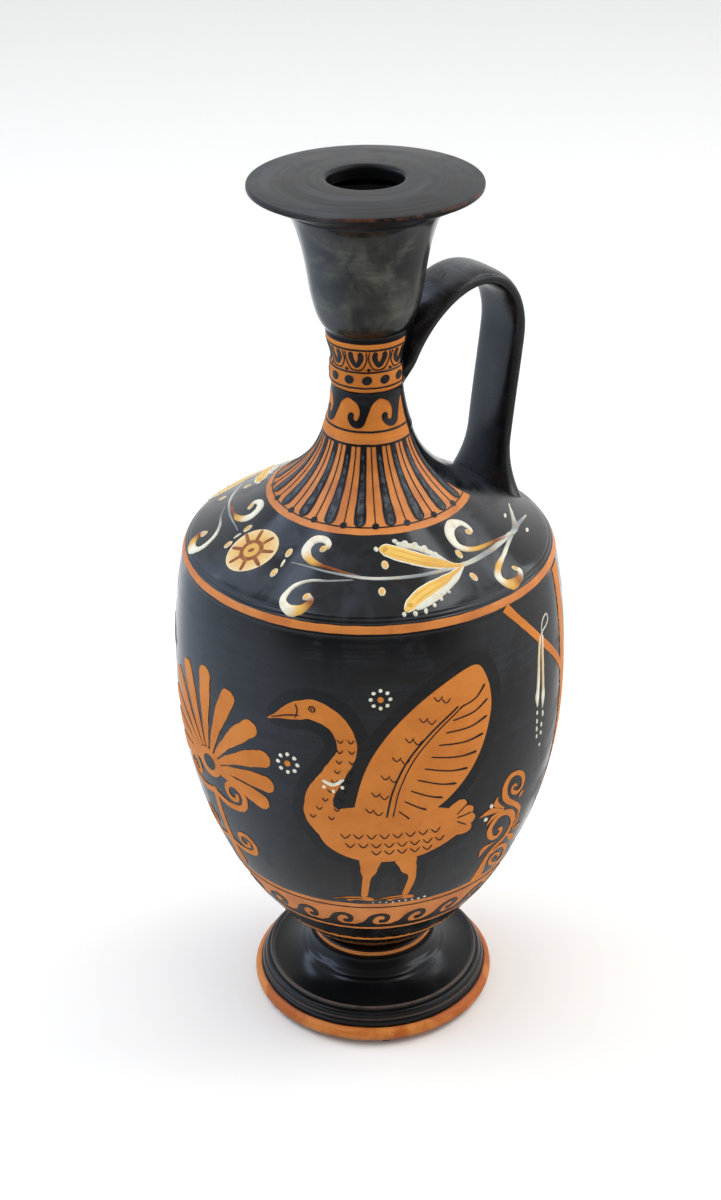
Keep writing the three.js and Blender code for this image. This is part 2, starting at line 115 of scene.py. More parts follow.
class FootSizes(bpy.types.PropertyGroup):
    rim_height: length("Rim height", "Height of the half-round rim", 6.4)
    rim_bulge: length("Rim bulge", "How far the rim swells past the standing ring", 3.7)
    rim_tuck: length("Rim tuck", "How far the rim rounds in at its top", 3.1)
    step_depth: length("Lower bead depth", "Width of the lower bead above the rim", 1.2)
    step_rise: length("Lower bead rise", "Height of the lower bead above the rim", 3.1)
    bead_depth: length("Upper bead depth", "Width of the upper bead", 1.8)
    bead_rise: length("Upper bead rise", "Height of the upper bead", 2.6)
    ridge_radius: length("Ridge radius", "Radius of the ridge round the dish", 44.5)
    ridge_height: length("Ridge height", "Height of the ridge above the foot's underside", 13.9)
    ridge_drop: length("Ridge drop", "Drop from the ridge into the dish", 1.1)
    ridge_width: length("Ridge width", "Width of the ridge", 1.8)
    seat_radius: length("Seat radius", "Radius of the seat under the stem", 25.6)
    ring_width: length("Standing ring width", "Width of the ring that the foot stands on", 9)
    hollow_depth: length("Hollow depth", "Depth of the hollow underneath", 12.5)
    hollow_radius: length("Hollow radius", "Radius of the flat top of the hollow", 12)
    fine_ring: length("Fine ring", "Width of the fine rings turned into the dish", 0.7)
    ring_gap: length("Ring gap", "Distance of the fine rings from the seat and from each other", 2.6)
    clay_edge: length("Clay edge", "Height of the gloss's lower edge above the foot's underside", 6.3)


class BodySizes(bpy.types.PropertyGroup):
    stem_radius: length("Stem radius", "Radius of the short stem", 23.2)
    stem_height: length("Stem height", "Height of the short stem", 4.7)
    widest_height: length("Widest height", "Height of the widest level above the stem's foot", 132.7)
    flare_out: length("Flare out", "Outward pull where the bowl leaves the stem", 8.6)
    flare_up: length("Flare up", "Upward pull where the bowl leaves the stem", 4.3)
    bowl_pull: length("Bowl pull", "Fullness of the bowl under its widest level", 80)
    upper_pull: length("Upper pull", "Fullness above the widest level", 13.5)
    edge_taper_in: length("Edge taper in", "Inward lean at the shoulder edge", 3.7)
    edge_taper_up: length("Edge taper up", "Length of that lean", 14.8)
    wall: length("Wall", "Thickness of the body's wall", 5.5)
    floor: length("Floor", "Thickness of the body's floor", 9)


class ShoulderSizes(bpy.types.PropertyGroup):
    edge_rise: length("Edge rise", "Height of the rounded edge", 8.2)
    edge_set_in: length("Edge set in", "Width of the rounded edge", 6.6)
    edge_round: length("Edge round", "Roundness of the edge", 4.3)
    slope: angle("Slope", "Slope of the shoulder", 29.2)
    slope_pull: length("Slope pull", "Length of the straight slope", 35)
    sweep_up: length("Sweep up", "Length of the sweep up to the neck", 17.9)
    sweep_out: length("Sweep out", "Width of the sweep up to the neck", 4.5)
    wall: length("Wall", "Thickness of the shoulder's wall", 4.6)
    groove_width: length("Groove width", "Width of the turned grooves above the stripe", 0.9)
    groove_depth: length("Groove depth", "Depth of the turned grooves above the stripe", 0.22)


class NeckSizes(bpy.types.PropertyGroup):
    waist_radius: length("Waist radius", "Radius of the narrowest level", 13.5)
    waist_height: length("Waist height", "Height of the narrowest level", 18)
    flare_in: length("Flare in", "Inward pull at the neck's foot", 1.4)
    flare_up: length("Flare up", "Upward pull at the neck's foot", 3.1)
    waist_pull: length("Waist pull", "Straightness of the waist", 4.6)
    ring_height: length("Ring height", "Height of the raised ring", 6.2)
    ring_proud: length("Ring proud", "How far the ring stands out", 0.8)
    ring_round: length("Ring round", "Roundness of the ring's edges", 1.2)
    top_radius: length("Top radius", "Radius under the mouth cup", 15.6)
    top_pull: length("Top pull", "Roundness under the mouth cup", 5.5)
    bore: length("Bore", "Diameter of the bore", 18)


class MouthSizes(bpy.types.PropertyGroup):
    bottom_radius: length("Cup bottom radius", "Radius of the cup's foot", 15.8)
    bend_height: length("Bend height", "Height of the bend above the cup's foot", 17.2)
    bend_radius: length("Bend radius", "Radius at the bend", 21.5)
    bottom_pull: length("Bottom pull", "Roundness of the cup's bottom", 4.4)
    bend_pull: length("Bend pull", "Roundness of the bend", 6.9)
    bend_lean: ratio("Bend lean", "Outward lean of the wall at the bend", 0.14)
    top_lean: ratio("Top lean", "Outward lean of the wall under the rim", 0.75)
    top_pull: length("Top pull", "Roundness under the rim", 5.6)
    cup_wall: length("Cup wall", "Thickness of the cup's wall", 4.8)
    lip_thickness: length("Lip thickness", "Thickness of the rim's edge", 2.4)
    lip_round: length("Lip round", "Roundness of the rim's edge", 0.9)
    dome_rise: length("Dome rise", "Rise of the rim from its edge to its hole", 1.2)
    hole_radius: length("Hole radius", "Radius of the mouth hole", 14)
    hole_round: length("Hole round", "Roundness of the hole's edge", 1.8)
    under_pull_out: length("Under pull out", "Outward pull under the rim", 2.5)
    under_pull_up: length("Under pull up", "Upward pull under the rim", 1.4)
    edge_pull_in: length("Edge pull in", "Inward pull under the rim's edge", 4.3)
    edge_pull_down: length("Edge pull down", "Downward pull under the rim's edge", 2.1)
    disc_thickness: length("Disc thickness", "Thickness of the rim at the hole", 5.2)
    # Painted dark reflection on the cup: its direction, width and height
    dark_reflection_azimuth: angle("Dark mark azimuth", "Direction of the dark mark on the cup from the handle", -72)
    dark_reflection_width: angle("Dark mark width", "Width of the dark mark on the cup", 9)
    dark_reflection_height: ratio("Dark mark height", "Height of the dark mark as a share of the cup", 0.78)
    wear_azimuth: angle("Lip wear azimuth", "Direction in which the lip is worn most", -62)


class HandleSizes(bpy.types.PropertyGroup):
    width: length("Width", "Width of the strap", 24.5)
    thickness: length("Thickness", "Thickness of the strap", 6.6)
    root_width: length("Root width", "Width where the strap is smeared onto the shoulder", 43)
    root_thickness: length("Root thickness", "Thickness where the strap is smeared onto the shoulder", 15)
    root_length: length("Root length", "Length of the spread root", 25)
    start_width: length("Start width", "Width where the strap grows out of the neck", 13)
    start_length: length("Start length", "Length over which it widens", 17)
    neck_drop: length("Neck drop", "Drop of its start below the neck's top", 29)
    neck_pull: length("Neck pull", "Length of its run along the neck", 19)
    crest_out: length("Crest out", "Distance of the crest from the waist", 32.5)
    crest_rise: length("Crest rise", "Rise of the crest above the neck's top", 11)
    crest_pull_in: length("Crest pull in", "Roundness of the crest towards the neck", 17)
    crest_pull_out: length("Crest pull out", "Roundness of the crest on the outside", 13)
    reach: length("Reach", "Distance of the outer bend from the waist", 51.5)
    bend_drop: length("Bend drop", "Drop of the outer bend below the crest", 27)
    bend_pull: length("Bend pull", "Roundness of the outer bend", 14)
    landing_radius: length("Landing radius", "Distance of the root from the axis", 57.5)
    landing_pull: length("Landing pull", "Straightness of the root", 18)
    squareness: ratio("Squareness", "Squareness of the strap's section", 2.8)


class OrnamentSizes(bpy.types.PropertyGroup):
    egg_count: count("Eggs", "Eggs round the neck", 10)
    dot_count: count("Ring dots", "Dots round the neck ring", 13)
    hook_count: count("Hooks", "Hooks round the neck", 7)
    tongue_count: count("Tongues", "Tongues in a full round of the collar", 19)
    wave_count: count("Waves", "Waves round the lower band", 24)
    collar_radius: length("Collar radius", "Radius of the orange collar on the shoulder", 39.6)
    bare_angle: angle("Black back", "Half width of the black part at the collar's edge", 45)
    neck_bare: angle("Black neck", "Half width of the black part at the neck", 61)
    # Painted shade: the black band under the mouth stands for the shade in the crease where the cup sits
    # on the neck
    neck_top: length("Black neck top", "Height of the black band under the mouth", 1.5)
    stripe_low: length("Stripe bottom", "Lower edge of the orange stripe above the shoulder's joint", 0.8)
    stripe_high: length("Stripe top", "Upper edge of the orange stripe above the shoulder's joint", 3.6)
    band_low: length("Band bottom", "Lower edge of the wave band above the body's joint", 37.0)
    band_high: length("Band top", "Upper edge of the wave band above the body's joint", 56.5)
    line_height: length("Line height", "Height of the orange line between the wave band and the stem",
                        23.6)
    line_width: length("Line width", "Width of that line and of the wave band's lower border", 2.1)
    egg_phase: angle("Egg phase", "Direction of one egg", -107.3)
    dot_phase: angle("Dot phase", "Direction of one dot of the neck ring", -90.7)
    hook_phase: angle("Hook phase", "Direction of one hook", -95.5)
    tongue_phase: angle("Tongue phase", "Direction of one tongue", -95.7)
    scroll_mirror: angle("Scroll mirror", "Direction halfway between the two shoulder scrolls", -141.5)
    rosette_azimuth: angle("Rosette azimuth", "Direction of the rosette between the scrolls", -143.4)
    rosette_radius: length("Rosette radius", "Distance of the rosette from the axis", 55.2)
    side_azimuth: angle("Side scroll azimuth", "Direction of the tall scroll beside the handle", -46)
    fillet_azimuth: angle("Fillet azimuth", "Direction of the hanging fillet", -33)
    upright_turn: angle("Upright turn", "Angle from the fillet to the upright band", 18.6)
    upright_width: length("Upright width", "Width of the upright band", 7.5)
    picture_azimuth: angle("Picture azimuth", "Direction of the picture's middle", -145)
    bird_spread: angle("Bird spread", "Angle of each bird from the picture's middle", 54.5)
    ground_height: length("Ground height", "Height of the birds' feet above the body's joint", 58.9)


class FinishColours(bpy.types.PropertyGroup):
    gloss: colour("Black gloss", "Black gloss slip", (0.0048, 0.0048, 0.0052))
    # Painted sheen: blue-grey laid into the black gloss in soft patches and streaks, standing in for the
    # soft reflections of the lights
    painted_sheen_and_patches: colour("Bloom", "Blue-grey bloom on the gloss", (0.019, 0.022, 0.030))
    # Greenish grey of the mouth cup: partly its own lustre and partly painted reflection, laid on bright
    # to stand for the lights mirrored in the cup
    lustre: colour("Lustre", "Greenish grey lustre of the mouth", (0.080, 0.083, 0.064))
    olive: colour("Olive", "Olive brown patches of the mouth", (0.046, 0.040, 0.026))
    # Painted highlight: pale blue-grey for the upward-facing side of the handle's strap
    crest: colour("Crest", "Pale rubbed gloss on the handle's crest", (0.11, 0.13, 0.15))
    sheen: colour("Sheen", "Blue-grey sheen of broad strokes", (0.060, 0.067, 0.077))
    warm_black: colour("Warm black", "Thin brownish gloss", (0.012, 0.0065, 0.004))
    clay: colour("Orange clay", "Polished clay", (0.66, 0.222, 0.038))
    deep_clay: colour("Deep clay", "Clay where the wash is thick", (0.54, 0.160, 0.024))
    foot_clay: colour("Foot clay", "Clay of the foot's rim, darkened by handling", (0.46, 0.105, 0.005))
    bare_clay: colour("Bare clay", "Clay on worn edges", (0.22, 0.062, 0.022))
    cream: colour("Cream", "Thick cream paint", (0.82, 0.79, 0.66))
    yellow: colour("Yellow", "Yellow wash on the cream", (0.72, 0.40, 0.07))
    brown: colour("Brown", "Red-brown wash on the cream", (0.24, 0.055, 0.009))
    grey: colour("Grey", "Thin white paint on the black", (0.24, 0.27, 0.28))
    gold: colour("Gold", "Warm yellow of the leaves", (0.80, 0.50, 0.10))
    # Grey-brown of the foot's rubbed ridges, also laid as painted shade on the lower half of its rim
    dust_and_painted_shade: colour("Dust", "Pale brown rubbed ridges of the foot", (0.15, 0.105, 0.08))
    rubber: colour("Rubber", "Pads under the foot", (0.030, 0.018, 0.012))


class StageSizes(bpy.types.PropertyGroup):
    lens: FloatProperty(name="Lens", description="Focal length of the camera", default=62.70,
                        unit="CAMERA")
    camera_place: FloatVectorProperty(
        name="Camera", description="Place of the camera", subtype="TRANSLATION",
        default=(-0.4205, -0.5943, 0.5929),
    )
    pitch: angle("Pitch", "Tilt of the camera from straight down", 60.839)
    roll: angle("Roll", "Turn of the camera about its line of sight", -0.696)
    floor_size: length("Floor size", "Side of the pale floor", 16000)
    floor_colour: colour("Floor", "Pale floor", (0.975, 0.965, 0.95))
    sky: ratio("Room", "Strength of the white room to the sides", 0.95)
    below: ratio("Below", "Share of the room's light that the gloss mirrors from below", 0.55)
    below_left: ratio("Below left", "The same on the left, where the floor is brightest", 1.1)
    below_far: ratio("Below far", "The same behind the vase, where the gloss mirrors it at its edges",
                     1.3)
    ceiling: ratio("Ceiling", "Share of the room's light that comes from straight above", 0.55)
    dark: ratio("Camera side", "Share of the room's light that comes from the camera's side", 0.12)
    cool: colour("Cool side", "Tint of the room on the left", (0.70, 0.83, 1.0))
    key: power("Soft boxes", "Power of each soft box", 9)
    box_size: length("Soft box size", "Side of each soft box", 850)
    box_distance: length("Soft box distance", "Distance of the soft boxes from the vase", 1500)
    box_rise: angle("Soft box rise", "Height angle of the soft boxes", 45)
    card: power("Cards", "Power of each card that shows in the gloss", 17)
    card_size: length("Card size", "Side of each card", 1400)
    fill: power("Fill", "Power of the broad light over the camera", 13)
    fill_size: length("Fill size", "Side and distance of the broad light over the camera", 2500)
    overhead: power("Overhead", "Power of the broad light overhead", 88)
    overhead_size: length("Overhead size", "Side and height of the broad light overhead", 5000)
    aim_height: length("Aim height", "Height on the vase at which the lights aim", 170)


class VaseSettings(bpy.types.PropertyGroup):
    foot: PointerProperty(type=FootSizes)
    body: PointerProperty(type=BodySizes)
    shoulder: PointerProperty(type=ShoulderSizes)
    neck: PointerProperty(type=NeckSizes)
    mouth: PointerProperty(type=MouthSizes)
    handle: PointerProperty(type=HandleSizes)
    ornament: PointerProperty(type=OrnamentSizes)
    finish: PointerProperty(type=FinishColours)
    stage: PointerProperty(type=StageSizes)


def settings():
    return bpy.context.scene.vase


# Helpers

def unit(value):
    """The value, kept between 0 and 1"""
    return min(1.0, max(0.0, value))


def hump(distance, width):
    """1 at no distance, falling off smoothly over a width"""
    return math.exp(-(distance / width) ** 2)


def ease(t):
    return t * t * (3 - 2 * t)


def blended(a, b, part):
    """Colour between two others"""
    return tuple(Vector(a).lerp(Vector(b), part))


def bottom_of(node):
    return BOXES[node][0].z


def top_of(node):
    return BOXES[node][1].z


def above(node, millimetres):
    """Height above the lower edge of a section"""
    return bottom_of(node) + millimetres * MM


def reach(node):
    return BOXES[node][1].y


def span(node):
    """Lower edge, upper edge and radius of a section"""
    return bottom_of(node), top_of(node), reach(node)


def seam(lower, upper):
    return (top_of(lower) + bottom_of(upper)) / 2


def heading(points, i):
    """Direction of a line at one of its points"""
    before = points[max(i - 1, 0)]
    after = points[min(i + 1, len(points) - 1)]
    return Vector((after[0] - before[0], after[1] - before[1])).normalized()


def midway(a, b, t):
    return a[0] + (b[0] - a[0]) * t, a[1] + (b[1] - a[1]) * t


def locate(values, value):
    """Number of the next entry in a rising list, and the share of the way to it"""
    i = min(max(bisect_right(values, value), 1), len(values) - 1)
    return i, (value - values[i - 1]) / (values[i] - values[i - 1])


def beside(azimuth, flip):
    """The azimuth, or its mirror image on the far side of the handle"""
    return azimuth if flip > 0 else 2 * HANDLE_AZIMUTH - azimuth


def lengths(points):
    """Length of a line up to each of its points"""
    gone = [0.0]
    for a, b in zip(points, points[1:]):
        gone.append(gone[-1] + math.dist(a, b))
    return gone


def bezier(points, steps):
    """Points on a Bezier curve of any degree"""
    degree = len(points) - 1
    curve = []
    for step in range(steps + 1):
        t = step / steps
        shares = [math.comb(degree, k) * t ** k * (1 - t) ** (degree - k) for k in range(degree + 1)]
        curve.append(tuple(sum(s * p[axis] for s, p in zip(shares, points)) for axis in (0, 1)))
    return curve


def joined(*runs):
    """One run of points without doubles"""
    points = []
    for run in runs:
        for point in run:
            if not points or math.dist(point, points[-1]) > 1e-7:
                points.append(point)
    return points


def even(points, step):
    """The same line with points no further apart than one step"""
    line = [points[0]]
    for a, b in zip(points, points[1:]):
        parts = max(1, math.ceil(math.dist(a, b) / step))
        line += [midway(a, b, k / parts) for k in range(1, parts + 1)]
    return line


# Outlines of the thrown sections as (radius, height), in metres

def body_outline():
    b = settings().body
    low, high, radius = span("body")
    radius -= PAINT_ROOM * MM
    widest = low + b.widest_height
    stem_top = low + b.stem_height
    edge = reach("shoulder")
    bowl = bezier([
        (b.stem_radius, stem_top),
        (b.stem_radius + b.flare_out, stem_top + b.flare_up),
        (radius, widest - b.bowl_pull),
        (radius, widest),
    ], 220)
    upper = bezier([
        (radius, widest),
        (radius, widest + b.upper_pull),
        (edge + b.edge_taper_in, high - b.edge_taper_up),
        (edge, high),
    ], 70)
    return joined([(b.stem_radius, low)], bowl, upper, [(edge, seam("body", "shoulder"))])


def shoulder_outline():
    s = settings().shoulder
    b = settings().body
    low, high, edge = span("shoulder")
    base = reach("neck")
    down = Vector((math.cos(s.slope), -math.sin(s.slope)))
    bend = Vector((edge - s.edge_set_in, low + s.edge_rise))
    lean = Vector((-b.edge_taper_in, b.edge_taper_up)).normalized() * s.edge_round
    rounded = bezier([
        (edge, low),
        (edge + lean.x, low + lean.y),
        tuple(bend + down * s.edge_round),
        tuple(bend),
    ], 60)
    slope = bezier([
        tuple(bend),
        tuple(bend - down * s.slope_pull),
        (base + s.sweep_out, high - s.sweep_up),
        (base, high),
    ], 160)
    plain = joined([(edge, seam("body", "shoulder"))], rounded, slope, [(base, seam("shoulder", "neck"))])
    return grooved(plain, low + settings().ornament.stripe_high)


def grooved(outline, start):
    """Two fine turned grooves above a level"""
    s = settings().shoulder
    cut = []
    for i, (radius, height) in enumerate(outline):
        along = heading(outline, i)
        depth = 0
        for middle in (start + 0.9 * s.groove_width, start + 2.3 * s.groove_width):
            depth += s.groove_depth * hump(height - middle, 0.3 * s.groove_width)
        cut.append((radius - along.y * depth, height + along.x * depth))
    return cut


def neck_outline():
    n = settings().neck
    low, high, base = span("neck")
    waist = low + n.waist_height
    edge = 2 * n.ring_round
    ring_top = waist + n.ring_height + edge
    proud = n.waist_radius + n.ring_proud
    flare = bezier([
        (base, low),
        (base - n.flare_in, low + n.flare_up),
        (n.waist_radius, waist - n.waist_pull),
        (n.waist_radius, waist),
    ], 60)
    ring_foot = bezier([(n.waist_radius, waist), (proud, waist), (proud, waist + edge)], 8)
    ring_head = bezier([(proud, ring_top - edge), (proud, ring_top), (n.waist_radius, ring_top)], 8)
    top = bezier([
        (n.waist_radius, ring_top),
        (n.waist_radius, ring_top + n.top_pull),
        (n.top_radius, high - n.top_pull),
        (n.top_radius, high),
    ], 36)
    foot = [(base, seam("shoulder", "neck"))]
    return joined(foot, flare, ring_foot, ring_head, top, [(n.top_radius, seam("neck", "mouth_cup"))])


def cup_outline():
    m = settings().mouth
    low, high, top = span("mouth_cup")
    bend = low + m.bend_height
    diagonal = m.bottom_pull * math.sqrt(0.5)
    lower = bezier([
        (m.bottom_radius, low),
        (m.bottom_radius + diagonal, low + diagonal),
        (m.bend_radius - m.bend_lean * m.bend_pull, bend - m.bend_pull),
        (m.bend_radius, bend),
    ], 50)
    upper = bezier([
        (m.bend_radius, bend),
        (m.bend_radius + m.bend_lean * m.bend_pull, bend + m.bend_pull),
        (top - m.top_lean * m.top_pull, high - m.top_pull),
        (top, high),
    ], 60)
    foot = [(m.bottom_radius, seam("neck", "mouth_cup"))]
    return joined(foot, lower, upper, [(top, seam("mouth_cup", "rim_disc"))])


def behind(outline, wall, step):
    """Coarser line at one wall thickness behind an outline, from top to bottom"""
    coarse = outline[::step] + [outline[-1]]
    line = []
    for i, (radius, height) in enumerate(coarse):
        along = heading(coarse, i)
        line.append((radius - along.y * wall, height + along.x * wall))
    return line[::-1]


class Wall:
    """The painted wall from stem to neck: gives a place on it from azimuth and length along the outline"""

    def __init__(self):
        self.outline = joined(body_outline(), shoulder_outline(), neck_outline())
        self.arcs = lengths(self.outline)
        self.normals = []
        for i in range(len(self.outline)):
            along = heading(self.outline, i)
            self.normals.append(Vector((along.y, -along.x)))
        self.heights = [point[1] for point in self.outline]
        self.first = bisect_right(self.heights, bottom_of("shoulder"))
        end = bisect_right(self.heights, bottom_of("neck"))
        self.inward = [-point[0] for point in self.outline[self.first:end]]

    def arc_between(self, i, t):
        return self.arcs[i - 1] + (self.arcs[i] - self.arcs[i - 1]) * t

    def arc(self, height):
        """Length along the outline at a height"""
        return self.arc_between(*locate(self.heights, height))

    def arc_at_radius(self, radius):
        """Length along the outline where the shoulder has a radius"""
        k, t = locate(self.inward, -radius)
        return self.arc_between(self.first + k, t)

    def section(self, arc):
        """Radius, height and outward direction at a length along the outline"""
        i, t = locate(self.arcs, arc)
        out = self.normals[i - 1].lerp(self.normals[i], t).normalized()
        return *midway(self.outline[i - 1], self.outline[i], t), out

    def spot(self, azimuth, section, lift):
        """Point above the wall and its normal; azimuth as the camera sees it"""
        radius, height, out = section
        turn = azimuth - HANDLE_AZIMUTH
        c = math.cos(turn)
        s = math.sin(turn)
        away = radius + out.x * lift
        point = (away * c, away * s, height + out.y * lift)
        return point, (out.x * c, out.x * s, out.y)


def wall_chart(wall, azimuth, start, flip=1):
    """Flat drawing coordinates in millimetres on the wall: x to the right, y up along the outline"""
    def chart(x, y, lift):
        section = wall.section(start + y * MM)
        return wall.spot(azimuth + flip * x * MM / section[0], section, lift * MM)
    return chart


def plan_chart(wall, mirror=None):
    """Coordinates in millimetres on the shoulder seen from above, or mirrored about an azimuth"""
    def chart(x, y, lift):
        azimuth = math.atan2(y, x)
        if mirror is not None:
            azimuth = 2 * mirror - azimuth
        return wall.spot(azimuth, wall.section(wall.arc_at_radius(math.hypot(x, y) * MM)), lift * MM)
    return chart


# Meshes

def link_piece(name, mesh, material, nodes=()):
    piece = bpy.data.objects.new(name, mesh)
    bpy.context.scene.collection.objects.link(piece)
    mesh.materials.append(material)
    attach(piece, "root")
    if nodes:
        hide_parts(*nodes)


def store(mesh, name, values):
    attribute = mesh.attributes.new(name, "FLOAT", "POINT")
    attribute.data.foreach_set("value", values)


def throw(name, profile, segments, close, marks, finish, slot, *nodes):
    """Piece of revolution about Z; marks gives named attributes at (azimuth, radius, height)"""
    points = []
    rings = []
    for radius, height in profile:
        if radius < 1e-7:
            rings.append([len(points)] * segments)
            points.append((0, 0, height))
            continue
        rings.append(list(range(len(points), len(points) + segments)))
        for k in range(segments):
            a = math.tau * k / segments
            points.append((radius * math.cos(a), radius * math.sin(a), height))
    faces = []
    for low, high in zip(rings, rings[1:] + rings[:1] if close else rings[1:]):
        for k in range(segments):
            n = (k + 1) % segments
            corners = list(dict.fromkeys((low[k], low[n], high[n], high[k])))
            if len(corners) > 2:
                faces.append(corners)
    mesh = bpy.data.meshes.new(name)
    mesh.from_pydata(points, [], faces)
    for label, rule in marks.items():
        store(mesh, label, [rule(math.atan2(y, x), math.hypot(x, y), z) for x, y, z in points])
    mesh.shade_smooth()
    mesh.set_sharp_from_angle(angle=TURNED_SHARP)
    link_piece(name, mesh, finish, nodes)


def smooth_line(points, step):
    """Points on a smooth line through the given ones, each with its place between them"""
    line = []
    for i in range(len(points) - 1):
        b = Vector(points[i])
        c = Vector(points[i + 1])
        a = Vector(points[i - 1]) if i else b + (b - c)
        d = Vector(points[i + 2]) if i + 2 < len(points) else c + (c - b)
        parts = max(3, math.ceil((c - b).length / step))
        for k in range(parts):
            t = k / parts
            bend = (2 * a - 5 * b + 4 * c - d) * t ** 2 + (3 * b - a - 3 * c + d) * t ** 3
            spot = 0.5 * (2 * b + (c - a) * t + bend)
            line.append((spot, i + t))
    line.append((Vector(points[-1]), len(points) - 1.0))
    return line


def between(values, place):
    """Value at a place in a list, eased"""
    i = min(int(place), len(values) - 2)
    return values[i] + (values[i + 1] - values[i]) * ease(place - i)


def loop(points, step=1.2):
    """Smooth closed outline through the points"""
    around = [points[-1]] + list(points) + [points[0], points[1]]
    line = []
    for spot, place in smooth_line(around, step):
        if 1 <= place < len(points) + 1:
            line.append(tuple(spot))
    return line


def spiral(first, last, start, turns, steps=16):
    """Points of a circle or of a volute that winds inwards"""
    points = []
    for k in range(steps + 1):
        t = k / steps
        radius = first + (last - first) * t
        a = math.radians(start + 360 * turns * t)
        points.append((radius * math.cos(a), radius * math.sin(a)))
    return points


def round_top(side):
    """Height of a half circle at a share of its half width"""
    return math.sqrt(max(0, 1 - side * side))


class Coat:
    """A layer of paint on the wall, made of brush strokes and filled shapes"""

    def __init__(self):
        self.points = []
        self.normals = []
        self.faces = []
        self.tints = []

    def put(self, chart, x, y, lift, tint):
        point, normal = chart(x, y, lift)
        self.points.append(point)
        self.normals.append(normal)
        self.tints.append(tint)
        return len(self.points) - 1

    def stroke(self, chart, line, widths, lift=LINE_LIFT, dome=0.0, tints=None, step=0.8, ends=True):
        """Brush stroke along a line; dome is the height of thick paint"""
        if not isinstance(widths, (list, tuple)):
            widths = [widths] * len(line)
        tints = [Vector(t) for t in tints] if tints else None
        path = smooth_line(line, step)
        spots = [spot for spot, _ in path]
        gone = lengths(spots)
        widest = max(widths)
        if dome:
            sides = (-1, -0.86, -0.5, 0, 0.5, 0.86, 1)
        else:
            parts = max(2, math.ceil(widest / 2.5))
            sides = [-1] + [2 * k / parts - 1 for k in range(parts + 1)] + [1]
        rows = []
        for i, (spot, place) in enumerate(path):
            ahead = heading(spots, i)
            across = Vector((-ahead.y, ahead.x))
            width = between(widths, place)
            width *= 1 + 0.07 * noise.noise(Vector((spot.x * 0.35, spot.y * 0.35, 3.1)))
            half = max(width / 2, 0.02)
            if ends:
                room = min(gone[i], gone[-1] - gone[i])
                if room < half:
                    half *= max(math.sqrt(1 - (1 - room / half) ** 2), 0.06)
            tint = between(tints, place) if tints else None
            row = []
            for k, side in enumerate(sides):
                if dome:
                    rise = lift + min(1, half / 0.6) * dome * round_top(side) - EDGE_SINK * abs(side) ** 8
                else:
                    rise = lift if 0 < k < len(sides) - 1 else -EDGE_SINK
                at = spot + across * (side * half)
                row.append(self.put(chart, at.x, at.y, rise, tint))
            rows.append(row)
        for a, b in zip(rows, rows[1:]):
            for k in range(len(sides) - 1):
                self.faces.append((a[k + 1], a[k], b[k], b[k + 1]))

    def fill(self, chart, outline, lift=GROUND_LIFT, spacing=2.5):
        """Filled shape inside a closed outline"""
        size = len(outline)
        border = [Vector(p) for p in outline]
        inner = []
        low_x = min(p.x for p in border)
        high_x = max(p.x for p in border)
        low_y = min(p.y for p in border)
        high_y = max(p.y for p in border)
        rows = int((high_y - low_y) / spacing)
        columns = int((high_x - low_x) / spacing)
        for j in range(1, rows + 1):
            for i in range(1, columns + 1):
                spot = Vector((low_x + (i + 0.5 * (j % 2)) * spacing, low_y + j * spacing))
                if inside(border, spot) and min((spot - p).length for p in border) > spacing * 0.35:
                    inner.append(spot)
        edges = [(k, (k + 1) % size) for k in range(size)]
        flat, _, triangles, _, _, _ = delaunay_2d_cdt(border + inner, edges, [], 1, 1e-5)
        numbers = [self.put(chart, p.x, p.y, lift, None) for p in flat]
        for a, b, c in triangles:
            turn = (flat[b] - flat[a]).cross(flat[c] - flat[a])
            order = (a, b, c) if turn > 0 else (a, c, b)
            self.faces.append(tuple(numbers[k] for k in order))
        top = [self.put(chart, p.x, p.y, lift, None) for p in border]
        foot = [self.put(chart, p.x, p.y, -EDGE_SINK, None) for p in border]
        for k in range(size):
            n = (k + 1) % size
            self.faces.append((top[k], foot[k], foot[n], top[n]))

    def dot(self, chart, x, y, wide, tall, lift=LINE_LIFT, turn=0.0, dome=0.0, tint=None, rim=None):
        """Round or oval dab"""
        c = math.cos(turn)
        s = math.sin(turn)
        steps = max(12, int(4 * max(wide, tall)))
        middle = self.put(chart, x, y, lift + dome, tint)
        before = None
        for share in (0.35, 0.65, 0.88, 1.0):
            ring = []
            if dome:
                rise = lift + dome * round_top(share) - EDGE_SINK * share ** 8
            else:
                rise = lift
            shade = tint
            if rim is not None:
                shade = Vector(tint).lerp(Vector(rim), share ** 3)
            for k in range(steps):
                a = math.tau * k / steps
                out = share * (1 + 0.05 * math.sin(2 * a + x))
                u = wide * out * math.cos(a)
                v = tall * out * math.sin(a)
                ring.append(self.put(chart, x + u * c - v * s, y + u * s + v * c, rise, shade))
            for k in range(steps):
                n = (k + 1) % steps
                if before is None:
                    self.faces.append((middle, ring[k], ring[n]))
                else:
                    self.faces.append((before[k], ring[k], ring[n], before[n]))
            before = ring

    def ring(self, wall, arc, width, start=-math.pi, end=math.pi):
        """Line drawn round the wall"""
        turn = (end - start) * wall.section(arc)[0] / MM
        chart = wall_chart(wall, start, arc)
        parts = max(24, int(turn / 6))
        line = []
        for k in range(parts + 1):
            a = math.tau * k / parts
            sway = 0.12 * noise.noise(Vector((9 * math.cos(a), 9 * math.sin(a), arc * 90)))
            line.append((turn * k / parts, sway))
        self.stroke(chart, line, width, step=1.6, ends=end - start < math.tau - 0.01)

    def outward(self, face):
        """The face wound so that it looks away from the wall"""
        corners = [Vector(self.points[i]) for i in face]
        facing = (corners[2] - corners[0]).cross(corners[-1] - corners[1])
        return face if facing.dot(Vector(self.normals[face[0]])) >= 0 else tuple(reversed(face))

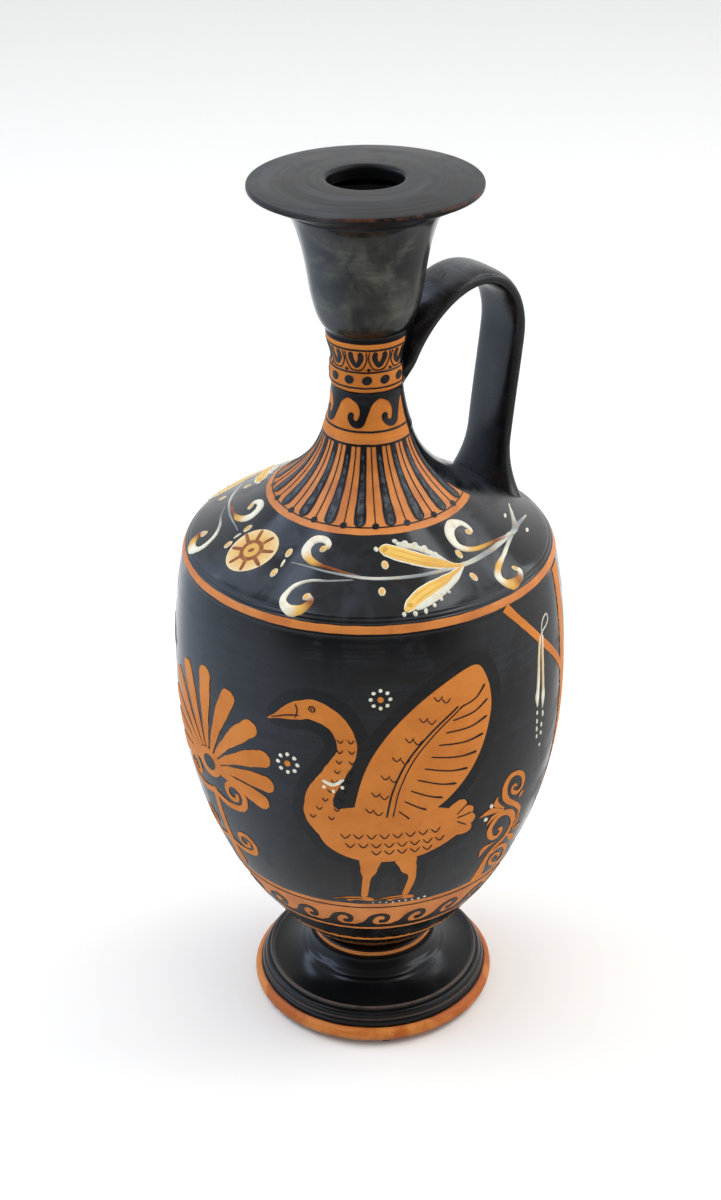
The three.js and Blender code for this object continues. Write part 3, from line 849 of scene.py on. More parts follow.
    def piece(self, name, material, slot, shaped=False):
        """Mesh object of the coat, shaded like the wall under it unless the paint is thick"""
        mesh = bpy.data.meshes.new(name)
        mesh.from_pydata(self.points, [], [self.outward(face) for face in self.faces])
        if self.tints[0] is not None:
            attribute = mesh.attributes.new("tint", "FLOAT_COLOR", "POINT")
            attribute.data.foreach_set("color", [value for tint in self.tints for value in (*tint, 1.0)])
        mesh.shade_smooth()
        if not shaped:
            mesh.normals_split_custom_set_from_vertices(self.normals)
        link_piece(name, mesh, material)


def inside(border, spot):
    """Whether a point lies within a closed outline"""
    hit = False
    before = border[-1]
    for here in border:
        if (here.y > spot.y) != (before.y > spot.y):
            if spot.x < (before.x - here.x) * (spot.y - here.y) / (before.y - here.y) + here.x:
                hit = not hit
        before = here
    return hit


# Materials

class Nodes:
    """Short way to add and link shader nodes"""

    def __init__(self, tree):
        self.tree = tree
        tree.nodes.clear()

    def add(self, kind, feeds=None, **options):
        node = self.tree.nodes.new(kind)
        for key, value in options.items():
            setattr(node, key, value)
        for key, value in (feeds or {}).items():
            self.feed(node.inputs[key], value)
        return node

    def feed(self, socket, value):
        if isinstance(value, bpy.types.NodeSocket):
            self.tree.links.new(value, socket)
        else:
            socket.default_value = value

    def math(self, operation, a, b=0.0):
        return self.add("ShaderNodeMath", {0: a, 1: b}, operation=operation).outputs[0]

    def times(self, a, b):
        return self.math("MULTIPLY", a, b)

    def plus(self, a, b):
        return self.math("ADD", a, b)

    def mix(self, share, a, b):
        return self.add("ShaderNodeMix", {0: share, 6: a, 7: b}, data_type="RGBA").outputs[2]

    def blend(self, share, a, b):
        return self.add("ShaderNodeMix", {0: share, 2: a, 3: b}, data_type="FLOAT").outputs[0]

    def remap(self, value, low, high, to_low=0.0, to_high=1.0):
        feeds = {0: value, 1: low, 2: high, 3: to_low, 4: to_high}
        return self.add("ShaderNodeMapRange", feeds, interpolation_type="SMOOTHSTEP").outputs[0]

    def noise(self, vector, scale, detail=3.0, roughness=0.55, distortion=0.0):
        feeds = {"Vector": vector, "Scale": scale, "Detail": detail, "Roughness": roughness}
        return self.add("ShaderNodeTexNoise", {**feeds, "Distortion": distortion}).outputs[0]

    def place(self):
        return self.add("ShaderNodeTexCoord").outputs["Object"]

    def dot(self, a, b):
        return self.add("ShaderNodeVectorMath", {0: a, 1: b}, operation="DOT_PRODUCT").outputs["Value"]

    def mark(self, name, kind="Fac"):
        return self.add("ShaderNodeAttribute", attribute_name=name).outputs[kind]

    def effect(self, name, **feeds):
        return self.add("ShaderNodeGroup", feeds, node_tree=bpy.data.node_groups[name]).outputs

    def streak(self, spread, fineness):
        return self.effect("wheel_streaks", Spread=spread, Fineness=fineness)[0]

    def cloud(self, scale, low, high):
        return self.effect("kiln_cloud_and_sheen_patches", Scale=scale, Low=low, High=high)[0]

    def grit(self, scale, low, high):
        return self.effect("grit", Scale=scale, Low=low, High=high)

    def edge(self, waver):
        return self.effect("hand_edge", Distance=self.mark("clay"), Waver=waver)[0]


def new_effect(name, inputs, outputs, build):
    """Shader node group with float sockets"""
    tree = bpy.data.node_groups.new(name, "ShaderNodeTree")
    for label, value in inputs.items():
        socket = tree.interface.new_socket(name=label, in_out="INPUT", socket_type="NodeSocketFloat")
        socket.default_value = value
    for label in outputs:
        tree.interface.new_socket(name=label, in_out="OUTPUT", socket_type="NodeSocketFloat")
    nodes = Nodes(tree)
    given = nodes.add("NodeGroupInput").outputs
    end = nodes.add("NodeGroupOutput")
    for label, socket in build(nodes, given).items():
        nodes.feed(end.inputs[label], socket)


def wheel_streaks(nodes, given):
    """Fine streaks that run round the axis, as a brush leaves them on the turning vase"""
    xyz = nodes.add("ShaderNodeSeparateXYZ", {0: nodes.place()}).outputs
    flat = nodes.math("SQRT", nodes.plus(nodes.math("POWER", xyz[0], 2), nodes.math("POWER", xyz[1], 2)))
    along = nodes.plus(nodes.times(flat, 0.8), nodes.times(xyz[2], 1.5))
    spot = nodes.add("ShaderNodeCombineXYZ", {
        0: nodes.times(xyz[0], given["Spread"]),
        1: nodes.times(xyz[1], given["Spread"]),
        2: nodes.times(along, given["Fineness"]),
    }).outputs[0]
    return {"Streak": nodes.noise(spot, 1.0, 4.0, 0.6)}


def kiln_cloud_and_sheen_patches(nodes, given):
    """Large soft patches where the slip fired differently, also used to lay painted sheen in patches"""
    cloud = nodes.noise(nodes.place(), given["Scale"], 5.0, 0.6, 0.6)
    return {"Cloud": nodes.remap(cloud, given["Low"], given["High"])}


def grit(nodes, given):
    """Pores and specks of fired clay"""
    fine = nodes.noise(nodes.place(), given["Scale"], 2.0, 0.5)
    return {"Speck": nodes.remap(fine, given["Low"], given["High"]), "Grain": fine}


def hand_edge(nodes, given):
    """Painted edge from a distance in millimetres, with the waver of a brush"""
    waver = nodes.math("SUBTRACT", nodes.noise(nodes.place(), 120.0, 2.0), 0.5)
    distance = nodes.plus(given["Distance"], nodes.times(waver, given["Waver"]))
    return {"Mask": nodes.remap(distance, -0.08, 0.08)}


def worn_edge(nodes, given):
    """Rubbed edges broken up in patches; on the foot's rim the same mask lays painted shade"""
    rub_and_painted_light = nodes.noise(nodes.place(), 160.0, 5.0, 0.65)
    return {"Mask": nodes.times(given["Wear"], nodes.remap(rub_and_painted_light, given["Low"], given["High"]))}


def make_effects():
    new_effect("wheel_streaks", {"Spread": 14.0, "Fineness": 900.0}, ["Streak"], wheel_streaks)
    new_effect("kiln_cloud_and_sheen_patches", {"Scale": 30.0, "Low": 0.42, "High": 0.72}, ["Cloud"], kiln_cloud_and_sheen_patches)
    new_effect("grit", {"Scale": 2200.0, "Low": 0.6, "High": 0.75}, ["Speck", "Grain"], grit)
    new_effect("hand_edge", {"Distance": 0.0, "Waver": 0.5}, ["Mask"], hand_edge)
    new_effect("worn_edge", {"Wear": 0.0, "Low": 0.4, "High": 0.62}, ["Mask"], worn_edge)


def opaque(value):
    return (*value, 1.0)


def material(name, look, **options):
    """Material made once and shared; look gives colour, roughness, height, relief, depth and specular"""
    known = bpy.data.materials.get(name)
    if known:
        return known
    made = bpy.data.materials.new(name)
    made.use_nodes = True
    nodes = Nodes(made.node_tree)
    base, rough, height, relief, depth, specular = look(nodes, **options)
    bump = nodes.add("ShaderNodeBump", {"Strength": relief, "Distance": depth, "Height": height})
    feeds = {"Base Color": base, "Roughness": rough, "Specular IOR Level": specular,
             "Normal": bump.outputs[0]}
    shader = nodes.add("ShaderNodeBsdfPrincipled", feeds)
    nodes.add("ShaderNodeOutputMaterial", {0: shader.outputs[0]})
    return made


def polished_clay(nodes, wash=0.75, deep=None):
    """Colour, roughness and height of polished clay with a thinly laid wash"""
    f = settings().finish
    cloud = nodes.cloud(55.0, 0.36, 0.74)
    streak = nodes.streak(30.0, 700.0)
    speck, grain = nodes.grit(1500.0, 0.60, 0.78)
    deep = opaque(deep or f.deep_clay)
    base = nodes.mix(nodes.times(cloud, wash), opaque(f.clay), deep)
    base = nodes.mix(nodes.remap(streak, 0.5, 0.8, 0.0, 0.35), base, deep)
    base = nodes.mix(nodes.times(speck, 0.35), base, opaque(f.bare_clay))
    return base, nodes.remap(streak, 0.3, 0.75, 0.44, 0.60), grain


def slip_look(nodes, dark, painted_sheen_and_patches, amount, rough, specular, marks=(), cloud=30.0, bands=0.45, calm=0.25,
              relief=0.10, warm=None, wash=0.75, deep=None, worn_and_painted_light=None, broken=(0.4, 0.62), waver=0.55):
    """Black gloss slip with patches of a second colour, mostly painted sheen; marks names the attributes
    that bare clay, that mark rubbed edges and the painted shade on the foot's rim, or that spread the
    painted sheen and leave painted shade where it is low
    """
    f = settings().finish
    streak = nodes.streak(16.0, 620.0)
    broad = nodes.streak(9.0, 130.0)
    patch = nodes.cloud(cloud, 0.40, 0.72)
    brown = nodes.cloud(cloud * 0.6, 0.50, 0.76)
    speck, grain = nodes.grit(1900.0, 0.64, 0.74)
    share = nodes.times(patch, nodes.remap(streak, 0.32, 0.72, calm, 1.0))
    share = nodes.plus(share, nodes.remap(broad, 0.52, 0.74, 0.0, bands))
    share = nodes.times(share, amount)
    # This attribute spreads the painted sheen; where it is low the black stays dark as painted shade
    if "rub_and_painted_light" in marks:
        share = nodes.times(share, nodes.mark("rub_and_painted_light"))
    base = nodes.mix(share, opaque(dark), opaque(painted_sheen_and_patches))
    base = nodes.mix(nodes.times(brown, 0.5), base, opaque(warm or f.warm_black))
    base = nodes.mix(nodes.times(speck, 0.10), base, opaque(painted_sheen_and_patches))
    rubbed = nodes.plus(nodes.times(streak, 0.6), nodes.times(patch, 0.4))
    gloss = nodes.remap(rubbed, 0.2, 0.8, *rough)
    height = nodes.plus(streak, nodes.times(grain, 0.25))
    if "clay" in marks:
        clay_base, clay_rough, _ = polished_clay(nodes, wash, deep)
        mask = nodes.edge(waver)
        base = nodes.mix(mask, base, clay_base)
        gloss = nodes.blend(mask, gloss, clay_rough)
    if "wear_and_painted_shade" in marks:
        mask = nodes.effect("worn_edge", Wear=nodes.mark("wear_and_painted_shade"), Low=broken[0], High=broken[1])[0]
        base = nodes.mix(mask, base, opaque(worn_and_painted_light or f.bare_clay))
        gloss = nodes.blend(mask, gloss, 0.62)
    return base, gloss, height, relief, 0.0004, specular


def clay_look(nodes, black_back=False):
    """Orange clay, with black gloss where the attribute clay is negative if asked"""
    base, rough, grain = polished_clay(nodes)
    if black_back:
        mask = nodes.edge(0.55)
        base = nodes.mix(mask, opaque(settings().finish.gloss), base)
        rough = nodes.blend(mask, 0.32, rough)
    return base, rough, grain, 0.12, 0.0003, 0.15


def brush_look(nodes):
    """Black lines and shapes painted on the clay, with patches and specks of painted blue-grey sheen"""
    f = settings().finish
    painted_sheen_patch = nodes.cloud(170.0, 0.46, 0.72)
    speck, grain = nodes.grit(1300.0, 0.56, 0.70)
    base = nodes.mix(nodes.times(painted_sheen_patch, 0.8), opaque(f.gloss), opaque(f.painted_sheen_and_patches))
    base = nodes.mix(nodes.times(speck, 0.35), base, opaque(f.painted_sheen_and_patches))
    return base, nodes.remap(painted_sheen_patch, 0.0, 1.0, 0.30, 0.48), grain, 0.12, 0.0003, 0.32


def sheen_look(nodes):
    """Painted blue-grey sheen in the middle of broad brush strokes"""
    f = settings().finish
    mottle = nodes.noise(nodes.place(), 420.0, 4.0, 0.65)
    base = nodes.mix(nodes.remap(mottle, 0.40, 0.62), opaque(f.gloss), opaque(f.sheen))
    return base, nodes.remap(mottle, 0.35, 0.65, 0.34, 0.52), mottle, 0.15, 0.0003, 0.5


def paint_look(nodes):
    """Cream, yellow, brown and grey paint laid on thick, with brush marks"""
    f = settings().finish
    tint = nodes.mark("tint", "Color")
    brush = nodes.noise(nodes.place(), 700.0, 4.0, 0.62, 0.8)
    broad = nodes.noise(nodes.place(), 240.0, 3.0, 0.55)
    base = nodes.mix(nodes.remap(broad, 0.52, 0.78, 0.0, 0.45), tint, opaque(f.yellow))
    base = nodes.mix(nodes.remap(brush, 0.56, 0.76, 0.0, 0.4), base, opaque(f.grey))
    return base, nodes.remap(brush, 0.3, 0.7, 0.42, 0.62), brush, 0.35, 0.0005, 0.35


def rubber_look(nodes):
    f = settings().finish
    grain = nodes.grit(2600.0, 0.5, 0.7)["Grain"]
    dust_and_painted_shade = nodes.cloud(260.0, 0.5, 0.75)
    base = nodes.mix(nodes.times(dust_and_painted_shade, 0.5), opaque(f.rubber), opaque(f.warm_black))
    return base, nodes.remap(dust_and_painted_shade, 0.0, 1.0, 0.7, 0.9), grain, 0.3, 0.0003, 0.5


def paper_look(nodes):
    grain = nodes.noise(nodes.place(), 40.0)
    base = nodes.mix(nodes.times(grain, 0.03), opaque(settings().stage.floor_colour), (1, 1, 1, 1))
    return base, nodes.remap(grain, 0.3, 0.7, 0.55, 0.65), grain, 0.02, 0.0002, 0.2


def slip(name):
    """One of the vase's dark slips, by its name"""
    f = settings().finish
    # Each slip's second colour is laid in patches: painted sheen on body, foot and contour stripes, a
    # painted highlight on the rim's top and the handle's upward side, on the cup a lustre that is partly
    # painted reflection, and bare clay on the ring
    looks = {
        "belly_black": dict(
            painted_sheen_and_patches=f.painted_sheen_and_patches, amount=0.9, rough=(0.10, 0.44), specular=0.50, marks=("clay", "rub_and_painted_light"),
            cloud=44.0, calm=0.1, relief=0.06, wash=1.5,
        ),
        "contour_black": dict(painted_sheen_and_patches=f.painted_sheen_and_patches, amount=0.35, rough=(0.24, 0.36), specular=0.42, cloud=80.0),
        "mouth_black": dict(
            painted_sheen_and_patches=f.lustre, amount=1.2, rough=(0.10, 0.26), specular=0.55, marks=("rub_and_painted_light",),
            cloud=58.0, bands=0.15, calm=0.6, warm=f.olive,
        ),
        "foot_black": dict(
            painted_sheen_and_patches=f.painted_sheen_and_patches, amount=0.30, rough=(0.16, 0.30), specular=0.34, marks=("clay", "wear_and_painted_shade"),
            relief=0.12, wash=2.2, deep=f.foot_clay, worn_and_painted_light=f.dust_and_painted_shade, broken=(0.2, 0.5), waver=0.12,
        ),
        "ring_brown": dict(
            dark=f.warm_black, painted_sheen_and_patches=f.bare_clay, amount=0.22, rough=(0.30, 0.44), specular=0.40,
            marks=("clay",), cloud=60.0,
        ),
        "rim_black": dict(
            painted_sheen_and_patches=f.sheen, amount=0.8, rough=(0.30, 0.50), specular=0.22, marks=("wear_and_painted_shade", "rub_and_painted_light"),
            cloud=46.0, relief=0.30,
        ),
        "handle_black": dict(
            painted_sheen_and_patches=f.crest, amount=1.0, rough=(0.20, 0.36), specular=0.50, marks=("wear_and_painted_shade", "rub_and_painted_light"),
            cloud=46.0, bands=0.2, calm=0.6,
        ),
    }
    return material(name, slip_look, **{"dark": f.gloss, **looks[name]})


# Distances to the edges of bare clay, in millimetres

def stripe(height, low, high):
    return min(height - low, high - height) / MM


def bare_half(radius):
    """Half width of the black part under the handle, wider at the neck"""
    o = settings().ornament
    waist = settings().neck.waist_radius
    share = unit((radius - waist) / (o.collar_radius - waist))
    return o.neck_bare + (o.bare_angle - o.neck_bare) * share


def front_span(radius):
    """Azimuths where the orange part starts and ends"""
    half = bare_half(radius)
    return HANDLE_AZIMUTH + half - math.tau, HANDLE_AZIMUTH - half


def from_back(azimuth, radius):
    """Distance along the wall from the black part under the handle"""
    return (abs(azimuth) - bare_half(radius)) * radius / MM


def clamp(value):
    return max(-FAR, min(FAR, value))


def clay_on_body(azimuth, radius, height):
    o = settings().ornament
    return clamp(stripe(height - bottom_of("body"), o.band_low - o.line_width, o.band_high))


def painted_sheen_on_wall(azimuth, radius, height):
    """Share of the painted sheen on the black, which fades out under the wave band so that the lower bowl
    stays dark as painted shade
    """
    return unit((height - bottom_of("body")) / settings().ornament.band_low - 0.6)


def clay_on_shoulder(azimuth, radius, height):
    o = settings().ornament
    collar = min((o.collar_radius - radius) / MM, from_back(azimuth, radius))
    return clamp(max(collar, stripe(height - bottom_of("shoulder"), o.stripe_low, o.stripe_high)))


# Drawings

def on_clay(count_of, phase, radius, margin):
    """Azimuths of an even row on the orange part, clear of its ends by a share of the spacing"""
    step = math.tau / count_of
    start, end = front_span(radius)
    row = []
    for k in range(count_of):
        past = (phase + k * step - start) % math.tau
        if margin * step < past < end - start - margin * step:
            row.append(start + past)
    return row


def egg_and_dots(coat, wall):
    """Eggs, lines, ring dots and hooks on the neck"""
    o = settings().ornament
    waist = settings().neck.waist_radius
    heights = (26.3, 23.1, 15.4, 18.0)
    egg_foot, dot_row, band_foot, band_top = (wall.arc(above("neck", height)) for height in heights)
    lines = {35.3: 0.75, 26.1: 0.6, 20.0: 0.6, 3.0: 0.75, -2.0: 0.8}
    for height, width in lines.items():
        arc = wall.arc(above("neck", height))
        coat.ring(wall, arc, width, *front_span(wall.section(arc)[0]))
    cup = [(-4.1, 8.9), (-4.0, 5.0), (-2.4, 1.6), (0, 0.7), (2.4, 1.6), (4.0, 5.0), (4.1, 8.9)]
    egg = [(-1.8, 8.8), (-1.8, 5.6), (0, 2.6), (1.8, 5.6), (1.8, 8.8)]
    for azimuth in on_clay(o.egg_count, o.egg_phase, waist, 0.15):
        chart = wall_chart(wall, azimuth, egg_foot)
        coat.stroke(chart, cup, 0.5)
        coat.stroke(chart, egg, [1.9, 2.0, 1.7, 2.0, 1.9])
        coat.dot(chart, 4.6, 0.9, 0.75, 0.75)
    for azimuth in on_clay(o.dot_count, o.dot_phase, waist, 0.2):
        coat.dot(wall_chart(wall, azimuth, dot_row), 0, 0, 1.95, 1.75)
    coat.ring(wall, (band_foot + band_top) / 2, (band_top - band_foot) / MM, *front_span(waist))
    hook = [(6.6, 1.0), (4.6, -0.6), (3.0, -2.2), (2.1, -4.3), (1.0, -7.4), (-0.2, -10.2),
            (-2.3, -11.3), (-4.6, -10.8), (-6.2, -8.8), (-6.4, -6.9), (-5.6, -5.7), (-4.5, -5.6),
            (-3.9, -6.5), (-4.2, -7.6), (-3.4, -8.6), (-2.5, -8.2), (-1.8, -6.4), (-1.7, -4.2),
            (-2.7, -1.9), (-4.5, -0.6), (-6.6, 1.0)]
    for azimuth in on_clay(o.hook_count, o.hook_phase, waist, 0.2):
        coat.fill(wall_chart(wall, azimuth, band_foot), loop(hook, 0.6), LINE_LIFT + 0.03, spacing=1.4)


def collar_tongues(coat, sheen, wall):
    """Tongues with painted sheen down their middles, lines and dots on the collar"""
    o = settings().ornament
    start, end = front_span(o.collar_radius)
    top = wall.arc(above("neck", -2.0))
    long = (wall.arc_at_radius(35.2 * MM) - top) / MM
    full = (wall.arc_at_radius(36.6 * MM) - top) / MM
    coat.ring(wall, wall.arc_at_radius(37.0 * MM), 0.45, start + 0.02, end - 0.02)
    tongue = [(0, share * long) for share in (0, 0.33, 0.66, 0.9, 1)]
    # Line of the painted sheen down each tongue's middle
    worn_and_painted_light = [(0, share * long) for share in (0.12, 0.5, 0.85, 1.06)]
    for azimuth in on_clay(o.tongue_count, o.tongue_phase, o.collar_radius, 0.25):
        chart = wall_chart(wall, azimuth, top)
        coat.stroke(chart, tongue, [2.3, 2.6, 3.4, 4.5, 4.5], step=1.2, ends=False)
        coat.dot(chart, 0, long, 2.25, 2.0)
        sheen.stroke(chart, worn_and_painted_light, [1.0, 1.5, 2.5, 2.2], LINE_LIFT + 0.06, step=1.2)
    half_step = math.pi / o.tongue_count
    for azimuth in on_clay(o.tongue_count, o.tongue_phase + half_step, o.collar_radius, 0.2):
        chart = wall_chart(wall, azimuth, top)
        coat.stroke(chart, [(0, 0), (0, 0.5 * full), (0, full)], 0.38, step=1.6, ends=False)
        coat.dot(chart, 0, full, 1.35, 1.35)


def shoulder_scroll(coat, chart):
    """Stem with curls, leaves and dots, in thick paint"""
    f = settings().finish
    cream, yellow, brown, grey = f.cream, f.yellow, f.brown, f.grey
    pale = blended(cream, grey, 0.45)
    stem = [(-29.5, -44.5), (-14.7, -52.0), (1.1, -55.6), (18.4, -53.0), (34.7, -44.6), (44.0, -35.4),
            (49.5, -27.3), (54.2, -18.5)]
    coat.stroke(chart, stem, [0.4, 0.9, 1.2, 1.3, 1.7, 1.9, 1.9, 1.6], 0.08, 0.12,
                [grey, grey, pale, grey, pale, grey, pale, cream])
    curls = (
        ([(-3.0, -54.9), (-9.1, -52.9), (-16.5, -49.6), (-21.6, -46.2), (-23.6, -41.6), (-20.8, -38.4),
          (-16.8, -39.0), (-15.0, -41.4), (-16.6, -43.0)],
         [0.4, 0.8, 1.2, 2.6, 3.6, 3.2, 2.5, 2.1, 1.8],
         [grey, brown, brown, yellow, cream, cream, cream, cream, yellow]),
        ([(-6.0, -56.0), (-14.7, -55.4), (-22.0, -54.0), (-28.0, -54.8), (-32.0, -58.8), (-30.4, -62.6),
          (-25.7, -64.2), (-22.0, -62.2), (-22.8, -59.4)],
         [0.5, 0.8, 1.1, 1.7, 2.5, 3.0, 3.2, 2.6, 2.2],
         [grey, grey, pale, cream, cream, cream, yellow, brown, cream]),
        ([(56.4, -13.2), (53.4, -20.4), (47.6, -27.6), (39.8, -35.6), (33.6, -37.4), (30.2, -33.6),
          (30.9, -28.7), (34.6, -26.0), (38.0, -27.2), (37.6, -29.6)],
         [1.7, 1.5, 1.3, 1.8, 2.7, 3.8, 3.8, 2.4, 1.9, 1.6],
         [grey, pale, brown, yellow, cream, cream, cream, cream, cream, yellow]),
        ([(54.8, -18.5), (52.6, -26.0), (50.6, -33.0), (48.0, -40.6), (48.2, -45.6), (52.0, -46.2),
          (55.8, -41.8), (56.4, -38.2), (54.9, -37.4)],
         [1.4, 1.4, 1.5, 2.3, 3.1, 3.2, 2.4, 2.0, 1.6],
         [grey, pale, cream, yellow, cream, yellow, brown, cream, cream]),
    )
    for line, widths, tints in curls:
        coat.stroke(chart, line, widths, 0.1, 0.45, tints)
    coat.stroke(chart, [(54.6, -19.0), (56.2, -13.0), (55.6, -5.7), (54.7, 4.0)], [1.6, 2.6, 1.5, 0.5],
                0.12, 0.3, [pale, grey, pale, cream])
    coat.stroke(chart, [(56.0, -13.6), (58.6, -7.2), (61.6, 1.0)], [2.2, 1.4, 0.7], 0.12, 0.3,
                [grey, grey, pale])
    leaf(coat, chart,
         [(34.9, -44.4), (32.2, -46.0), (27.3, -46.7), (21.7, -47.1), (16.1, -46.7), (10.6, -45.9),
          (6.3, -44.9), (3.2, -44.4)],
         [0.5, 1.6, 3.3, 4.5, 4.9, 4.9, 4.2, 1.4],
         [(29.2, -45.2), (25.5, -44.4), (21.8, -43.2), (16.9, -42.4), (13.2, -42.4), (9.5, -42.0)],
         [(24.4, -43.6, 1.2), (20.4, -42.3, 1.4), (16.8, -41.6, 1.3), (13.0, -41.7, 1.4),
          (9.4, -41.3, 1.0), (2.4, -44.7, 1.0)])
    leaf(coat, chart,
         [(34.9, -45.0), (30.9, -49.5), (27.0, -53.6), (22.4, -57.4), (18.0, -61.2), (15.0, -64.5),
          (12.6, -67.6)],
         [0.5, 1.5, 3.2, 4.4, 4.6, 4.0, 1.4],
         [(34.9, -45.5), (31.7, -51.1), (28.1, -56.1), (24.3, -60.5), (19.9, -64.0), (16.2, -66.2)],
         [(28.9, -57.6, 0.7), (26.0, -61.0, 0.75), (23.4, -63.8, 0.8), (20.2, -66.2, 0.85),
          (16.3, -67.6, 0.9), (12.2, -68.3, 0.8)])
    for x, y, size in ((-17.0, -42.6, 1.5), (-23.2, -60.0, 1.6), (37.2, -29.0, 1.4), (54.4, -38.0, 1.3)):
        coat.dot(chart, x, y, size, size * 0.85, 0.2, 0.4, 0.45, yellow, cream)
    for x, y in ((-30.0, -40.4), (-35.5, -46.8), (5.6, -50.4), (4.3, -60.5), (33.3, -40.6),
                 (38.4, -48.6)):
        coat.dot(chart, x, y, 1.75, 1.35, 0.08, math.atan2(y, x), 0.4, yellow, cream)
    for x, y, turn in ((-32.2, -44.0, 1.0), (52.6, -8.4, 1.5), (61.0, -11.2, 1.4)):
        coat.dot(chart, x, y, 1.7, 0.55, 0.08, turn, 0.25, cream)


def leaf(coat, chart, spine, widths, edge, dabs):
    """Yellow leaf with a pale border, orange streaks and tip, and white dabs along one edge"""
    f = settings().finish
    cream, yellow = f.cream, f.yellow
    white = blended(cream, f.grey, 0.25)
    orange = blended(yellow, f.brown, 0.25)
    coat.stroke(chart, edge, [0.6] + [2.3] * (len(edge) - 2) + [1.6], 0.10, 0.30, [white] * len(edge))
    coat.stroke(chart, spine, [w + 0.6 for w in widths], 0.14, 0.20, [cream] * len(spine))
    half = len(spine) // 2
    tints = [orange] + [yellow] * (half - 1) + [f.gold] * (len(spine) - half)
    coat.stroke(chart, spine, widths, 0.24, 0.22, tints)
    for side, first in ((0.22, 1), (-0.2, 2)):
        streak = []
        for a, b, width in zip(spine[first:], spine[first + 1:], widths[first:]):
            across = Vector((a[1] - b[1], b[0] - a[0])).normalized() * (side * width)
            streak.append((a[0] + across.x, a[1] + across.y))
        more = len(streak) - 2
        tints = [orange, yellow] + [orange] * more
        coat.stroke(chart, streak, [0.3] + [0.6] * more + [0.3], 0.42, 0.06, tints)
    tip = Vector(spine[-1]).lerp(Vector(spine[-2]), 0.8)
    coat.dot(chart, tip.x, tip.y, 1.3, 1.0, 0.44, 0.4, 0.08, orange)
    for x, y, size in dabs:
        coat.dot(chart, x, y, size, size * 0.85, 0.12, x, 0.45, white, cream)


def rosette(coat, wall):
    """Cream disc with brown spokes"""
    f = settings().finish
    o = settings().ornament
    edge = blended(f.cream, f.gold, 0.55)
    rust = blended(f.brown, f.yellow, 0.06)
    chart = wall_chart(wall, o.rosette_azimuth, wall.arc_at_radius(o.rosette_radius))
    coat.dot(chart, 0, 0, 10.4, 10.6, 0.2, 0, 0.12, f.yellow, edge)
    for k in range(8):
        a = math.radians(22 + 45 * k)
        line = [(r * math.cos(a), r * math.sin(a)) for r in (4.4, 7.2, 9.9)]
        coat.stroke(chart, line, [1.9, 1.7, 1.3], 0.34, 0.05, [rust, rust, f.brown])
    ring = spiral(4.2, 4.2, 0, 1, 20)
    coat.stroke(chart, ring, 1.9, 0.36, 0.05, [rust] * 21, ends=False)
    coat.dot(chart, 0, 0, 1.5, 1.0, 0.36, 0.8, 0.05, f.brown, rust)


def wave_band(coat, wall):
    """Running waves on the band at the foot of the picture"""
    o = settings().ornament
    low = wall.arc(bottom_of("body") + o.band_low)
    high = wall.arc(bottom_of("body") + o.band_high)
    coat.ring(wall, low + 1.3 * MM, 2.6)
    coat.ring(wall, high - 3.0 * MM, 0.5)
    wave = [(-7.4, 1.2), (-4.0, 5.5), (-1.5, 11.0), (1.1, 13.0), (3.6, 13.5), (6.2, 12.0), (6.8, 9.0),
            (5.6, 5.6), (3.6, 4.6), (2.2, 5.6), (2.7, 7.4), (4.1, 7.4), (4.7, 9.0), (4.2, 11.0),
            (2.5, 11.4), (0.7, 9.6), (-0.2, 7.0), (0.1, 4.0), (1.6, 2.6), (4.7, 2.2), (8.6, 2.2),
            (7.8, 0.8)]
    for k in range(o.wave_count):
        chart = wall_chart(wall, FRONT + math.tau * k / o.wave_count, low)
        coat.fill(chart, loop(wave, 0.7), LINE_LIFT + 0.03, spacing=1.8)


